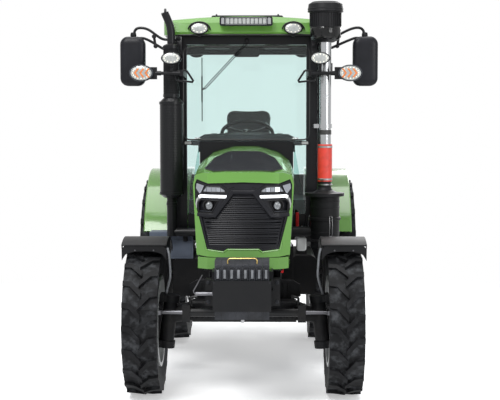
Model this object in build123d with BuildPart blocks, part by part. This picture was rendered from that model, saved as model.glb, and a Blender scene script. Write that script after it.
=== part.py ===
from build123d import *
import os
from math import asin, atan2, cos, degrees, pi, radians, sin, sqrt

# Farm tractor with cab, four-wheel drive. Millimetres, +Z up, the nose points to -Y.
# "left" is the driver's left, on +X. The ground is Z = 0.
os.makedirs("parts", exist_ok=True)
SIDES = (("left", 1), ("right", -1))

# ---------------------------------------------------------------- driving dimensions
seat_gap = 0.3              # clearance of a piece from the one that carries it
running_gap = 5             # clearance of moving pieces

wheelbase = 2150
front_axle_y = -1100
rear_axle_y = front_axle_y + wheelbase

front_radius = 525          # over the lugs
front_width = 240
front_rim_radius = 305
front_rim_width = 203
front_track = 1410
front_lug_height = 28
front_lug_count = 20        # bars on each side of the tread
front_lug_thick = 36

rear_radius = 720
rear_width = 380
rear_rim_radius = 381
rear_rim_width = 330
rear_track = 1440
rear_lug_height = 36
rear_lug_count = 21
rear_lug_thick = 46

rim_plate = 8               # barrel and disc thickness of the rims
rim_lip = 20

axle_depth = 150            # front axle beam, along Y and Z
pin_x = front_track / 2 - 162       # kingpin axis, at hub height
axle_beam_half = pin_x - 173
axle_z = 601.5
pin_lean = 6.5              # degrees, top inwards
pin_barrel_radius = 52
pin_barrel_half = 140
knuckle_arm = 50            # thickness of the knuckle's upper and lower arm
knuckle_reach = 80
hub_drum_radius = 115
spindle_radius = 40
rod_y = front_axle_y - 150  # steering cylinder and its rod
rod_z = 610
rod_radius = 14
rod_eye_x = pin_x + 60
rod_eye_radius = 26

fender_radius = 600         # front mudguard, inner radius about the wheel
fender_skin = 5
fender_inner_x = front_track / 2 - 165
fender_outer_x = front_track / 2 + 150
fender_forward = 20         # degrees from upright
fender_rearward = 60

support_half = 200          # cast carrier ahead of the engine
support_front_y = -1720
support_rear_y = -950
support_bottom_z = 720
support_top_z = 930

weight_count = 8
weight_pitch = 44
weight_gap = 1
weight_front_y = -1985
weight_rear_y = -1745
weight_top_z = 1060
weight_bottom_z = 680
weight_bar_y = -1800        # carrier bar that the weights hook over
weight_bar_z = 950
weight_bar = 50
guard_half = 187            # plate ahead of the weights, on two cheeks
guard_plate = 10
guard_cheek = 8
guard_flange_half = 246
guard_top_z = 936
guard_cheek_top_z = 915
guard_bottom_z = 738

engine_half = 210
engine_rear_y = -330
engine_top_z = 1400

gearbox_half = 160
gearbox_rear_y = 700
housing_half = 190
housing_rear_y = 1400
housing_bottom_z = 500
housing_top_z = 1000

hood_rear_y = -390
hood_wall = 5
nose_y = -1660              # foremost line of the nose, at its foot
nose_lean = 8               # degrees, top rearwards
nose_radius = 1150          # plan radius of the nose
nose_foot_z = 1052
hood_hinge = (-355, 1690)    # axis at the rear, as (y, z)
hood_pin = 8

cab_front_y = -250
cab_mid_y = 600
cab_rear_y = 1200
cab_front_half = 550
cab_mid_half = 665
cab_rear_half = 640
pillar_width = 84
pillar_depth = 70
cab_sill_z = 1020
cab_ring_z = 2545
cab_ring = 70
cab_rail = 60
glass = 6
beam_z = 1790               # cowl beam under the windscreen
corner_glass_z = 1225
cowl_half = 365

roof_half = 640
roof_front_y = -355
roof_rear_y = 1330
roof_bottom_z = cab_ring_z + cab_ring
roof_edge = 105
roof_crown = 45

rear_fender_radius = 800
rear_fender_skin = 8
rear_fender_inner_x = rear_track / 2 - 223
rear_fender_outer_x = rear_track / 2 + 90

hatch_width = 600           # cover let into the roof
hatch_length = 700
hatch_y = 470
hatch_seat_z = roof_bottom_z + 120
hatch_height = 45

pto_z = 650
pto_radius = 17.45
pto_shank = 14
drawbar_z = 380
drawbar_hole = 16.5
drawbar_hole_y = 1725
lift_pivot = (1330, 940)    # rear hitch, as (y, z)
link_pivot = (1350, 540)
rod_reach = 310             # from each pivot to the lift rod's pins
link_length = 622
hitch_rest = -8             # degrees of the links above the rearward level
shaft_radius = 28
link_pin = 15
hitch_pin = 11
ball_bore = 14.35
top_pivot = (1445, 880)
top_length = 531
top_rest = -13
top_pin = 12
top_bore = 12.85

door_gap = 6                # door's inner face to the pillars
door_thick = 30
door_frame = 55
hinge_pin = 10
hinge_heights = (1700, 2400)
door_bottom_z = 1095
door_top_z = 2575
door_sweep = 70             # clear height over the rear mudguard


# ---------------------------------------------------------------- wheels
def wheel_plane(hub):
    """Upright plane through a wheel's centre: local x along the axle, local y up."""
    return Plane(origin=hub, x_dir=(1, 0, 0), z_dir=(0, -1, 0))


def lug_planes(hub, reach, count, start, hand):
    """Planes square to the spokes, each tipped a little towards its shoulder."""
    planes = []
    for k in range(count):
        turn = radians(start + 360 * k / count)
        spoke = Vector(0, -cos(turn), sin(turn))
        tip = radians(lug_tip)
        normal = spoke * cos(tip) + Vector(hand * sin(tip), 0, 0)
        along = Vector(cos(tip), 0, 0) - spoke * (hand * sin(tip))
        origin = Vector(*hub) + spoke * reach
        planes.append(Plane(origin=origin, x_dir=along, z_dir=normal))
    return planes


def lug_outline(width, pitch, thick, hand):
    """Bent bar from the shoulder to just past the middle of the tread."""
    swept = 0.6 * thick
    middle = 0.29 * pitch
    points = (
        (0.52 * width, -thick / 2), (0.52 * width, thick / 2), (0.29 * width, 0.06 * pitch + thick / 2),
        (-0.03 * width, 0.56 * pitch + swept), (-0.03 * width, 0.56 * pitch - swept),
        (0.24 * width, 0.06 * pitch - thick / 2),
    )
    return [(hand * u, middle - v) for u, v in points]


def faceted_plug(count, near_r, near_x, far_r, far_x):
    """Solid in flat faces between two like polygons across the axle; radii to the flats."""
    rings = []
    for r, x in ((near_r, near_x), (far_r, far_x)):
        corner = r / cos(pi / count)
        turns = [2 * pi * k / count for k in range(count)]
        rings.append([Vector(x, corner * cos(a), corner * sin(a)) for a in turns])
    faces = [Face(Wire.make_polygon(ring)) for ring in rings]
    for k in range(count):
        j = (k + 1) % count
        faces.append(Face(Wire.make_polygon([rings[0][k], rings[0][j], rings[1][j], rings[1][k]])))
    return Solid(Shell(faces))


lug_tip = 4                 # degrees, tops lower at the shoulders


def lugged_tyre(hub, radius, width, rim_radius, rim_width, lug, count, thick):
    """Flat-faced carcass with two rows of bars, the rows half a pitch apart."""
    crown = radius - lug
    bead = rim_width / 2
    seat = rim_radius + seat_gap
    foot = seat + rim_lip + 4
    pitch = 2 * pi * radius / count
    corners = lug_outline(width, pitch, thick, 1)
    reach = min(sqrt(radius ** 2 - v ** 2) + u * sin(radians(lug_tip)) for u, v in corners)
    # one corner stands straight below the axle
    first = degrees(asin(max(-v for u, v in corners) / radius))
    with BuildPart() as tyre:
        with BuildSketch(Plane.YZ.offset(-width)):
            RegularPolygon(crown + 3, count)
        extrude(amount=2 * width)
        for hand in (1, -1):
            turn = first + (180 / count if hand == -1 else 0) - 90
            with BuildSketch(*lug_planes(hub, reach, count, turn, hand)):
                Polygon(*lug_outline(width, pitch, thick, hand), align=None)
            extrude(amount=-lug - 24)
        # flat sidewalls cut the bars' outer ends
        with BuildSketch(Plane.YZ.offset(-width / 2)):
            Circle(radius + 20)
        extrude(amount=width, mode=Mode.INTERSECT)
        for hand in (1, -1):
            wall = foot + 0.55 * (crown - foot)
            add(faceted_plug(count, foot, hand * bead, wall, hand * width / 2), mode=Mode.SUBTRACT)
        with BuildSketch(Plane.YZ.offset(-width)):
            RegularPolygon(seat, count, major_radius=False)
        extrude(amount=2 * width, mode=Mode.SUBTRACT)
    return tyre.part


def dished_rim(name, hub, side, radius, width, disc_x, cap_radius, cap_end):
    """Rim with its disc and hub cap in one; disc_x and cap_end are outwards from the centre."""
    bead = width / 2
    lip = 11
    barrel = radius - rim_plate
    flange = cap_radius + 45
    slope = 0.55 * (barrel - flange)
    points = (
        (disc_x - 12, spindle_radius + seat_gap),
        (disc_x - 12, flange),
        (disc_x, flange),
        (disc_x, flange + 45),
        (disc_x + slope, barrel),
        (-bead - seat_gap - lip, barrel),
        (-bead - seat_gap - lip, radius + rim_lip),
        (-bead - seat_gap, radius + rim_lip),
        (-bead - seat_gap, radius),
        (bead + seat_gap, radius),
        (bead + seat_gap, radius + rim_lip),
        (bead + seat_gap + lip, radius + rim_lip),
        (bead + seat_gap + lip, barrel),
        (disc_x + slope + 1.3 * rim_plate, barrel),
        (disc_x + 1.3 * rim_plate, flange + 45),
        (disc_x + 1.3 * rim_plate, cap_radius),
        (cap_end - 15, cap_radius),
        (cap_end, cap_radius - 20),
        (cap_end, 0),
        (disc_x + 30, 0),
        (disc_x + 30, spindle_radius + seat_gap),
    )
    with BuildPart() as rim:
        with BuildSketch(wheel_plane(hub)):
            with BuildLine():
                Polyline(*[(side * x, r) for x, r in points], close=True)
            make_face()
        revolve(axis=Axis(hub, (1, 0, 0)))
    rim.part.label = name
    export_step(rim.part, f"parts/{name}.step")
    return rim.part


def finish(part, name):
    part.label = name
    export_step(part, f"parts/{name}.step")


front_disc_x = -46          # disc faces of the rims, from the wheel's centre
rear_disc_x = -70
front_tyre = lugged_tyre(
    (0, 0, 0), front_radius, front_width, front_rim_radius, front_rim_width,
    front_lug_height, front_lug_count, front_lug_thick,
)
rear_tyre = lugged_tyre(
    (0, 0, 0), rear_radius, rear_width, rear_rim_radius, rear_rim_width,
    rear_lug_height, rear_lug_count, rear_lug_thick,
)
for label, side in SIDES:
    front_hub = (side * front_track / 2, front_axle_y, front_radius)
    rear_hub = (side * rear_track / 2, rear_axle_y, rear_radius)
    finish(front_tyre.moved(Location(front_hub)), f"front_tyre_{label}")
    finish(rear_tyre.moved(Location(rear_hub)), f"rear_tyre_{label}")
    dished_rim(
        f"front_rim_{label}", front_hub, side, front_rim_radius, front_rim_width,
        front_disc_x, 105, 60,
    )
    dished_rim(
        f"rear_rim_{label}", rear_hub, side, rear_rim_radius, rear_rim_width,
        rear_disc_x, 85, 20,
    )


# ---------------------------------------------------------------- axles and steering
def pin_plane(side, height=0):
    """Plane square to the kingpin, its local z along the pin, height above the hub."""
    lean = radians(pin_lean)
    up = Vector(-side * sin(lean), 0, cos(lean))
    along = Vector(cos(lean), 0, side * sin(lean))
    centre = Vector(side * pin_x, front_axle_y, front_radius)
    return Plane(origin=centre + up * height, x_dir=along, z_dir=up)


with BuildPart() as front_axle:
    with BuildSketch(Plane.YZ.offset(-axle_beam_half)):
        with Locations((front_axle_y, axle_z)):
            RectangleRounded(axle_depth, axle_depth, 20)
    extrude(amount=2 * axle_beam_half)
    for label, side in SIDES:
        with BuildSketch(Plane.YZ.offset(side * axle_beam_half)):
            with Locations((front_axle_y, axle_z)):
                Circle(axle_depth / 2 - 3)
        with BuildSketch(Plane.YZ.offset(side * (pin_x - 20))):
            with Locations((front_axle_y, axle_z - 40)):
                Circle(50)
        loft()
        with BuildSketch(pin_plane(side, -pin_barrel_half + seat_gap)):
            Circle(pin_barrel_radius)
        extrude(amount=2 * (pin_barrel_half - seat_gap))
    # pinion nose towards the gearbox
    with BuildSketch(Plane.XZ.offset(-front_axle_y)):
        with Locations((0, axle_z)):
            Circle(68)
    extrude(amount=-250)
finish(front_axle.part, "front_axle")

gland_x = axle_beam_half + 8
gland_length = 55
with BuildPart() as steer_cylinder:
    with BuildSketch(Plane.YZ.offset(-gland_x)):
        with Locations((rod_y, rod_z)):
            Circle(30)
    extrude(amount=2 * gland_x)
    for label, side in SIDES:
        with BuildSketch(Plane.YZ.offset(side * (gland_x + gland_length / 2))):
            with Locations((front_axle_y - axle_depth / 2, rod_z - 5)):
                Rectangle(2 * (front_axle_y - axle_depth / 2 - rod_y + 34), 120, align=Align.CENTER)
            with Locations((front_axle_y - axle_depth / 2 + 100, rod_z - 5)):
                Rectangle(200, 130, mode=Mode.SUBTRACT)
        extrude(amount=gland_length / 2, both=True)
    # feet on the beam's front face
    for side in (1, -1):
        with BuildSketch(Plane.YZ.offset(side * (axle_beam_half - 70))):
            with Locations((front_axle_y - axle_depth / 2 - seat_gap, rod_z)):
                Rectangle(60, 44, align=(Align.MAX, Align.CENTER))
        extrude(amount=side * 50)
    with BuildSketch(Plane.YZ.offset(-gland_x - gland_length)):
        with Locations((rod_y, rod_z)):
            Circle(rod_radius + seat_gap)
    extrude(amount=2 * (gland_x + gland_length), mode=Mode.SUBTRACT)
finish(steer_cylinder.part, "steer_cylinder")

with BuildPart() as steer_rod:
    with BuildSketch(Plane.YZ.offset(-rod_eye_x)):
        with Locations((rod_y, rod_z)):
            Circle(rod_radius)
    extrude(amount=2 * rod_eye_x)
    with BuildSketch(Plane.XY.offset(rod_z - 15)):
        with Locations((-rod_eye_x, rod_y), (rod_eye_x, rod_y)):
            Circle(rod_eye_radius)
    extrude(amount=30)
finish(steer_rod.part, "steer_rod")

steer_arm_z = rod_z + 15 + 13       # clears the rod's eye as the leaning pin lowers it
steer_arm_thick = 22
for label, side in SIDES:
    hub = (side * front_track / 2, front_axle_y, front_radius)
    drum_start = pin_x + knuckle_reach - 13
    drum_end = front_track / 2 + front_disc_x - 12 - running_gap
    with BuildPart() as knuckle:
        for start in (-pin_barrel_half - knuckle_arm, pin_barrel_half):
            with BuildSketch(pin_plane(side, start)):
                Circle(62)
                with Locations((side * knuckle_reach / 2, 0)):
                    Rectangle(knuckle_reach, 110)
            extrude(amount=knuckle_arm)
        with BuildSketch(pin_plane(side, -pin_barrel_half - knuckle_arm)):
            with Locations((side * (knuckle_reach - 13.5), 0)):
                Rectangle(27, 140)
        extrude(amount=2 * (pin_barrel_half + knuckle_arm))
        for start, length, radius in (
            (drum_start, drum_end - drum_start, hub_drum_radius),
            (drum_end - 1, 46, spindle_radius),
        ):
            with BuildSketch(Plane.YZ.offset(side * start)):
                with Locations((front_axle_y, front_radius)):
                    Circle(radius)
            extrude(amount=side * length)
        with BuildSketch(Plane.XY.offset(steer_arm_z)):
            with BuildLine():
                Polyline(
                    (side * (pin_x + 46), front_axle_y + 20),
                    (side * (pin_x + 46), front_axle_y - 70),
                    (side * (rod_eye_x - 26), rod_y),
                    (side * (rod_eye_x + 26), rod_y),
                    (side * (pin_x + 90), front_axle_y - 70),
                    (side * (pin_x + 90), front_axle_y + 20),
                    close=True,
                )
            make_face()
            with Locations((side * rod_eye_x, rod_y)):
                Circle(26)
        extrude(amount=steer_arm_thick)
    finish(knuckle.part, f"knuckle_{label}")

    turn = radians(fender_forward)
    with BuildPart() as fender:
        with BuildSketch(Plane(origin=hub, x_dir=(1, 0, 0), z_dir=(0, -cos(turn), -sin(turn)))):
            inner = side * (fender_inner_x - front_track / 2)
            outer = side * (fender_outer_x - front_track / 2)
            with BuildLine():
                Polyline(
                    (inner, fender_radius - 18),
                    (inner, fender_radius + fender_skin),
                    (outer, fender_radius + fender_skin),
                    (outer, fender_radius - 28),
                    (outer - side * fender_skin, fender_radius - 28),
                    (outer - side * fender_skin, fender_radius),
                    (inner + side * fender_skin, fender_radius),
                    (inner + side * fender_skin, fender_radius - 18),
                    close=True,
                )
            make_face()
        revolve(axis=Axis(hub, (1, 0, 0)), revolution_arc=-(fender_forward + fender_rearward))
        # inner rear corner is cut back
        with BuildSketch(Plane.XY.offset(front_radius + 200)):
            with BuildLine():
                Polyline(
                    (side * (fender_inner_x - 5), front_axle_y + 330),
                    (side * (fender_inner_x + 75), front_axle_y + 560),
                    (side * (fender_inner_x - 5), front_axle_y + 560),
                    close=True,
                )
            make_face()
        extrude(amount=300, mode=Mode.SUBTRACT)
        # stay from the knuckle's upper arm to the skin
        with BuildSketch(pin_plane(side, pin_barrel_half + knuckle_arm + seat_gap)):
            with Locations((side * 44, 40)):
                Rectangle(16, 44)
        extrude(amount=fender_radius - pin_barrel_half - knuckle_arm - 5, dir=(0, 0, 1))
    finish(fender.part, f"front_fender_{label}")


# ---------------------------------------------------------------- carrier, weights, engine, gearbox
lug_depth = 34              # trunnion plates that carry the axle
with BuildPart() as front_support:
    with BuildSketch(Plane.YZ.offset(-support_half)):
        with BuildLine():
            Polyline(
                (support_front_y, support_bottom_z + 60),
                (support_front_y, support_top_z),
                (support_rear_y, support_top_z),
                (support_rear_y, support_bottom_z),
                (support_front_y + 120, support_bottom_z),
                close=True,
            )
        make_face()
    extrude(amount=2 * support_half)
    # pocket between the side rails, open at the top
    with BuildSketch(Plane.XY.offset(support_top_z)):
        with Locations((0, (support_front_y + support_rear_y) / 2)):
            RectangleRounded(2 * support_half - 80, support_rear_y - support_front_y - 120, 30)
    extrude(amount=-120, mode=Mode.SUBTRACT)
    # bar that carries the weights, on two arms
    with BuildSketch(Plane.YZ.offset(-support_half + 12)):
        with Locations((weight_bar_y, weight_bar_z)):
            Rectangle(weight_bar, weight_bar)
    extrude(amount=2 * support_half - 24)
    for side in (1, -1):
        with BuildSketch(Plane.YZ.offset(side * support_half)):
            with BuildLine():
                Polyline(
                    (weight_bar_y - weight_bar / 2, weight_bar_z - weight_bar / 2),
                    (weight_bar_y - weight_bar / 2, weight_bar_z + weight_bar / 2),
                    (support_front_y + 60, weight_bar_z + weight_bar / 2),
                    (support_front_y + 60, support_top_z - 110),
                    (support_front_y, support_top_z - 110),
                    close=True,
                )
            make_face()
        extrude(amount=-side * 14)
    # trunnion plates fore and aft of the axle beam
    for y in (front_axle_y - axle_depth / 2 - seat_gap - lug_depth, front_axle_y + axle_depth / 2 + seat_gap):
        with BuildSketch(Plane.XZ.offset(-y)):
            with BuildLine():
                Polyline(
                    (-110, support_bottom_z + 10),
                    (110, support_bottom_z + 10),
                    (60, axle_z - 10),
                    (-60, axle_z - 10),
                    close=True,
                )
            make_face()
            with Locations((0, axle_z)):
                Circle(60)
        extrude(amount=-lug_depth)
    with BuildSketch(Plane.XZ.offset(-(front_axle_y + axle_depth / 2))):
        with Locations((0, axle_z)):
            Circle(68 + seat_gap)
    extrude(amount=-lug_depth - 1, mode=Mode.SUBTRACT)
finish(front_support.part, "front_support")

with BuildPart() as front_weights:
    first_x = -weight_pitch * weight_count / 2
    for k in range(weight_count):
        with BuildSketch(Plane.YZ.offset(first_x + k * weight_pitch + weight_gap / 2)):
            with BuildLine():
                Polyline(
                    (weight_front_y + 20, weight_bottom_z),
                    (weight_front_y, weight_bottom_z + 60),
                    (weight_front_y, weight_top_z - 60),
                    (weight_front_y + 45, weight_top_z),
                    (weight_rear_y - 20, weight_top_z),
                    (weight_rear_y, weight_top_z - 30),
                    (weight_rear_y, weight_bar_z - weight_bar / 2 - 12),
                    (weight_rear_y - 20, weight_bar_z - weight_bar / 2 - 12),
                    (weight_rear_y - 20, weight_bar_z + weight_bar / 2 + seat_gap),
                    (weight_bar_y - weight_bar / 2 - 2, weight_bar_z + weight_bar / 2 + seat_gap),
                    (weight_bar_y - weight_bar / 2 - 2, weight_bar_z - weight_bar / 2 - 12),
                    (weight_rear_y, weight_bar_z - weight_bar / 2 - 60),
                    (weight_rear_y - 30, weight_bottom_z),
                    close=True,
                )
            make_face()
        extrude(amount=weight_pitch - weight_gap)
finish(front_weights.part, "front_weights")

near = {1: Align.MIN, -1: Align.MAX}
guard_front_y = weight_front_y - 6
guard_rear_y = weight_rear_y
with BuildPart() as weight_guard:
    with BuildSketch(Plane.XY.offset(guard_bottom_z)):
        with Locations((0, guard_front_y)):
            Rectangle(2 * guard_half, guard_plate, align=(Align.CENTER, Align.MAX))
    extrude(amount=guard_top_z - guard_bottom_z)
    for side in (1, -1):
        # cheek beside the weights, flange across and foot on the carrier's side
        with BuildSketch(Plane.XY.offset(guard_bottom_z)):
            with Locations((side * (guard_half - 1), guard_front_y - 2)):
                Rectangle(guard_cheek, guard_rear_y - guard_front_y + 2, align=(near[-side], Align.MIN))
            with Locations((side * guard_flange_half, guard_rear_y)):
                Rectangle(guard_flange_half - support_half - seat_gap, 12, align=(near[-side], Align.MAX))
        extrude(amount=guard_cheek_top_z - guard_bottom_z)
        with BuildSketch(Plane.XY.offset(guard_bottom_z)):
            with Locations((side * (guard_half - 9), guard_rear_y)):
                Rectangle(support_half - guard_half + 20, 12, align=(near[side], Align.MAX))
        extrude(amount=guard_cheek_top_z - guard_bottom_z - 75)
        with BuildSketch(Plane.XY.offset(guard_bottom_z + 40)):
            with Locations((side * (support_half + seat_gap), guard_rear_y - 1)):
                Rectangle(
                    guard_flange_half - support_half - seat_gap, support_front_y + 50 - guard_rear_y,
                    align=(near[side], Align.MIN),
                )
        extrude(amount=guard_cheek_top_z - guard_bottom_z - 40)
finish(weight_guard.part, "weight_guard")

with BuildPart() as engine:
    with BuildSketch(Plane.YZ.offset(-engine_half)):
        with BuildLine():
            Polyline(
                (support_rear_y, support_bottom_z + 10),
                (support_rear_y, engine_top_z - 80),
                (support_rear_y + 60, engine_top_z),
                (engine_rear_y, engine_top_z),
                (engine_rear_y, support_bottom_z - 90),
                (support_rear_y + 130, support_bottom_z - 90),
                (support_rear_y + 130, support_bottom_z + 10),
                close=True,
            )
        make_face()
    extrude(amount=2 * engine_half)
finish(engine.part, "engine")

radiator_y = support_front_y + 330
with BuildPart() as radiator:
    with BuildSketch(Plane.XY.offset(support_top_z)):
        with Locations((0, radiator_y)):
            RectangleRounded(540, 110, 20)
    extrude(amount=560)
    with BuildSketch(Plane.XZ.offset(-(radiator_y + 50))):
        with Locations((0, support_top_z + 300)):
            RectangleRounded(500, 480, 60)
        with Locations((0, support_top_z + 300)):
            Circle(215, mode=Mode.SUBTRACT)
    extrude(amount=-60)
finish(radiator.part, "radiator")

with BuildPart() as gearbox:
    with BuildSketch(Plane.XZ.offset(-engine_rear_y)):
        with Locations((0, 790)):
            RectangleRounded(2 * gearbox_half + 60, 420, 60)
    with BuildSketch(Plane.XZ.offset(-(engine_rear_y + 220))):
        with Locations((0, 770)):
            RectangleRounded(2 * gearbox_half, 360, 60)
    loft()
    with BuildSketch(Plane.XZ.offset(-(engine_rear_y + 220))):
        with Locations((0, 770)):
            RectangleRounded(2 * gearbox_half, 360, 60)
    extrude(amount=-(gearbox_rear_y - engine_rear_y - 220))
    with BuildSketch(Plane.XZ.offset(-gearbox_rear_y)):
        with Locations((0, (housing_bottom_z + housing_top_z) / 2)):
            RectangleRounded(2 * housing_half, housing_top_z - housing_bottom_z, 50)
    extrude(amount=-(housing_rear_y - gearbox_rear_y))
    # rocker shaft and cross pin of the rear hitch
    for spot, radius, half in ((lift_pivot, shaft_radius, 312), (link_pivot, link_pin, 372)):
        with BuildSketch(Plane.YZ.offset(-half)):
            with Locations(spot):
                Circle(radius)
        extrude(amount=2 * half)
    # bracket of the top link
    for side in (1, -1):
        with BuildSketch(Plane.YZ.offset(side * 25)):
            with Locations(top_pivot):
                Circle(26)
                Rectangle(60, 52, align=(Align.MAX, Align.CENTER))
        extrude(amount=side * 14)
    with BuildSketch(Plane.YZ.offset(-30)):
        with Locations(top_pivot):
            Circle(top_pin)
    extrude(amount=60)
    # recess round the power take-off
    with BuildSketch(Plane.XZ.offset(-housing_rear_y)):
        with Locations((0, pto_z)):
            Circle(pto_shank + 0.5)
    extrude(amount=35, mode=Mode.SUBTRACT)
finish(gearbox.part, "gearbox")

rear_drum_end = rear_track / 2 + rear_disc_x - 12 - running_gap
with BuildPart() as rear_axle:
    for label, side in SIDES:
        for start, end, radius in (
            (housing_half, housing_half + 60, 170),
            (housing_half + 60, rear_drum_end - 40, 92),
            (rear_drum_end - 40, rear_drum_end, 125),
            (rear_drum_end, rear_drum_end + 45, spindle_radius),
        ):
            with BuildSketch(Plane.YZ.offset(side * start)):
                with Locations((rear_axle_y, rear_radius)):
                    Circle(radius)
            extrude(amount=side * (end - start))
finish(rear_axle.part, "rear_axle")


# ---------------------------------------------------------------- hood and nose
# sections of the hood, front to rear: y, then the half outline as (half width, z) from foot to crown
hood_sections = (
    (-1750, (310, 1034), (336, 1498), (322, 1568), (262, 1588), (120, 1596)),
    (-1530, (315, 1062), (342, 1520), (328, 1585), (268, 1605), (120, 1614)),
    (-950, (326, 1140), (354, 1560), (332, 1630), (262, 1690), (100, 1730)),
    (hood_rear_y, (330, 1222), (360, 1585), (330, 1650), (248, 1714), (90, 1758)),
)
# half outlines in the front view, as (x, z)
mask_outline = (
    (0, 1545), (240, 1536), (316, 1562), (330, 1525), (327, 1400), (300, 1310),
    (243, 1100), (125, 1086), (100, 1104), (0, 1104),
)
grille_outline = (
    (0, 1470), (70, 1470), (190, 1316), (284, 1316), (234, 1114), (128, 1100), (103, 1118),
    (0, 1118),
)
headlamp_outline = ((118, 1478), (122, 1490), (160, 1514), (250, 1516), (276, 1478))
strip_outline = (
    (120, 1438), (120, 1458), (286, 1460), (318, 1425), (322, 1390), (312, 1390), (304, 1418),
    (280, 1441),
)
fog_pocket = ((166, 1420), (288, 1426), (306, 1405), (300, 1336), (214, 1336))
fog_lamp = (232, 1388, 26)          # centre and radius
slot_z = (1136, 20, 16)             # grille slots: lowest, pitch, count
slot_height = 11
slot_margin = 16
nose_wall = 25
mask_setback = 6
mask_depth = 34
grille_setback = 16
nose_up = Vector(0, sin(radians(nose_lean)), cos(radians(nose_lean)))
nose_reach = 1200
front_view = Plane.XZ.offset(-nose_y + 200)


def mirrored(half):
    """Full outline from a half outline that starts and ends on the centre line."""
    return [*half, *[(-x, z) for x, z in reversed(half) if x]]


def on_side(hand, outline):
    return [(hand * x, z) for x, z in outline]


def hood_section(y, half, inset):
    """Closed section of the hood at y, inset by a wall; an inset one runs out below the foot."""
    (foot, foot_z), *rest = half
    points = [(foot - inset, foot_z - 2 * inset)]
    points += [(x - inset, z - inset) for x, z in rest]
    with BuildSketch(Plane.XZ.offset(-y), mode=Mode.PRIVATE) as section:
        Polygon(*points, *[(-x, z) for x, z in reversed(points)], align=None)
    return section.sketch


def nose_region(depth):
    """Plan of all that lies behind the nose's face, set back by depth."""
    foot = Plane(origin=(0, nose_y + depth, nose_foot_z), x_dir=(1, 0, 0), z_dir=nose_up)
    with BuildSketch(foot.offset(-250), mode=Mode.PRIVATE) as region:
        with BuildLine():
            ThreePointArc((-240, 29), (0, 0), (240, 29))
            Polyline((240, 29), (420, 177), (420, 1500), (-420, 1500), (-420, 177), (-240, 29))
        make_face()
    return region.sketch


def nose_piece(outlines, setback, depth, holes=(), gap=0):
    """A piece in the nose's face: outlines in the front view, between two depths."""
    with BuildPart() as piece:
        with BuildSketch(front_view):
            for outline in outlines:
                Polygon(*outline, align=None)
            if gap:
                offset(amount=-gap, kind=Kind.INTERSECTION, mode=Mode.REPLACE)
            for hole in holes:
                Polygon(*hole, align=None, mode=Mode.SUBTRACT)
        extrude(amount=-450)
        extrude(nose_region(setback), amount=nose_reach, dir=nose_up, mode=Mode.INTERSECT)
        extrude(nose_region(setback + depth), amount=nose_reach, dir=nose_up, mode=Mode.SUBTRACT)
    return piece.part


with BuildPart() as hood_core:
    loft([hood_section(y, half, hood_wall) for y, *half in hood_sections], ruled=True)
    extrude(nose_region(nose_wall), amount=nose_reach, dir=nose_up, mode=Mode.INTERSECT)

with BuildPart() as hood:
    loft([hood_section(y, half, 0) for y, *half in hood_sections], ruled=True)
    extrude(nose_region(0), amount=nose_reach, dir=nose_up, mode=Mode.INTERSECT)
    add(hood_core.part, mode=Mode.SUBTRACT)
    with BuildSketch(front_view):
        Polygon(*mirrored(mask_outline), align=None)
    extrude(amount=-450, mode=Mode.SUBTRACT)
    # hinge eyes under the rear edge
    for side in (1, -1):
        with BuildSketch(Plane.YZ.offset(side * 150)):
            with BuildLine():
                Polyline(
                    (hood_hinge[0] - 70, 1734), (hood_hinge[0] - 31, 1737),
                    (hood_hinge[0] + 17, hood_hinge[1]), (hood_hinge[0], hood_hinge[1] - 17),
                    (hood_hinge[0] - 70, 1700), close=True,
                )
            make_face()
            with Locations(hood_hinge):
                Circle(17)
                Circle(hood_pin + seat_gap, mode=Mode.SUBTRACT)
        extrude(amount=side * 12)
finish(hood.part, "hood")

headlamps = [on_side(hand, headlamp_outline) for hand in (1, -1)]
light_strips = [on_side(hand, strip_outline) for hand in (1, -1)]
fog_pockets = [on_side(hand, fog_pocket) for hand in (1, -1)]


def slot_half(z):
    """Half length of a grille slot whose middle is at z."""
    (_, _), (top_x, top_z), (knee_x, knee_z), (side_x, _), (foot_x, foot_z), *_ = grille_outline
    if z + slot_height / 2 < knee_z:
        return foot_x + (side_x - foot_x) * (z - slot_height / 2 - foot_z) / (knee_z - foot_z) - slot_margin
    if z - slot_height / 2 > knee_z:
        return knee_x + (top_x - knee_x) * (z + slot_height / 2 - knee_z) / (top_z - knee_z) - slot_margin
    return knee_x - slot_margin - 12


grille_slots = []
for k in range(slot_z[2]):
    middle = slot_z[0] + k * slot_z[1]
    half, low, high = slot_half(middle), middle - slot_height / 2, middle + slot_height / 2
    grille_slots.append([(-half, low), (half, low), (half, high), (-half, high)])

with BuildPart() as nose_mask:
    add(nose_piece(
        [mirrored(mask_outline)], mask_setback, mask_depth,
        [mirrored(grille_outline), *headlamps, *light_strips, *fog_pockets], seat_gap,
    ))
    # floors of the fog lamp pockets
    add(nose_piece(fog_pockets, mask_setback + mask_depth - 8, 8))
finish(nose_mask.part, "nose_mask")
finish(nose_piece([mirrored(grille_outline)], grille_setback, 14, grille_slots, seat_gap), "grille")
fog_ring = [
    (fog_lamp[0] + fog_lamp[2] * cos(radians(a)), fog_lamp[1] + fog_lamp[2] * sin(radians(a)))
    for a in range(0, 360, 24)
]
with BuildPart() as lamps:
    add(nose_piece([*headlamps, *light_strips], mask_setback + 2, 28, (), seat_gap))
    fog_depth = mask_depth - 8 - 10 - seat_gap
    add(nose_piece([on_side(hand, fog_ring) for hand in (1, -1)], mask_setback + 10, fog_depth))
finish(lamps.part, "headlamps")

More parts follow.
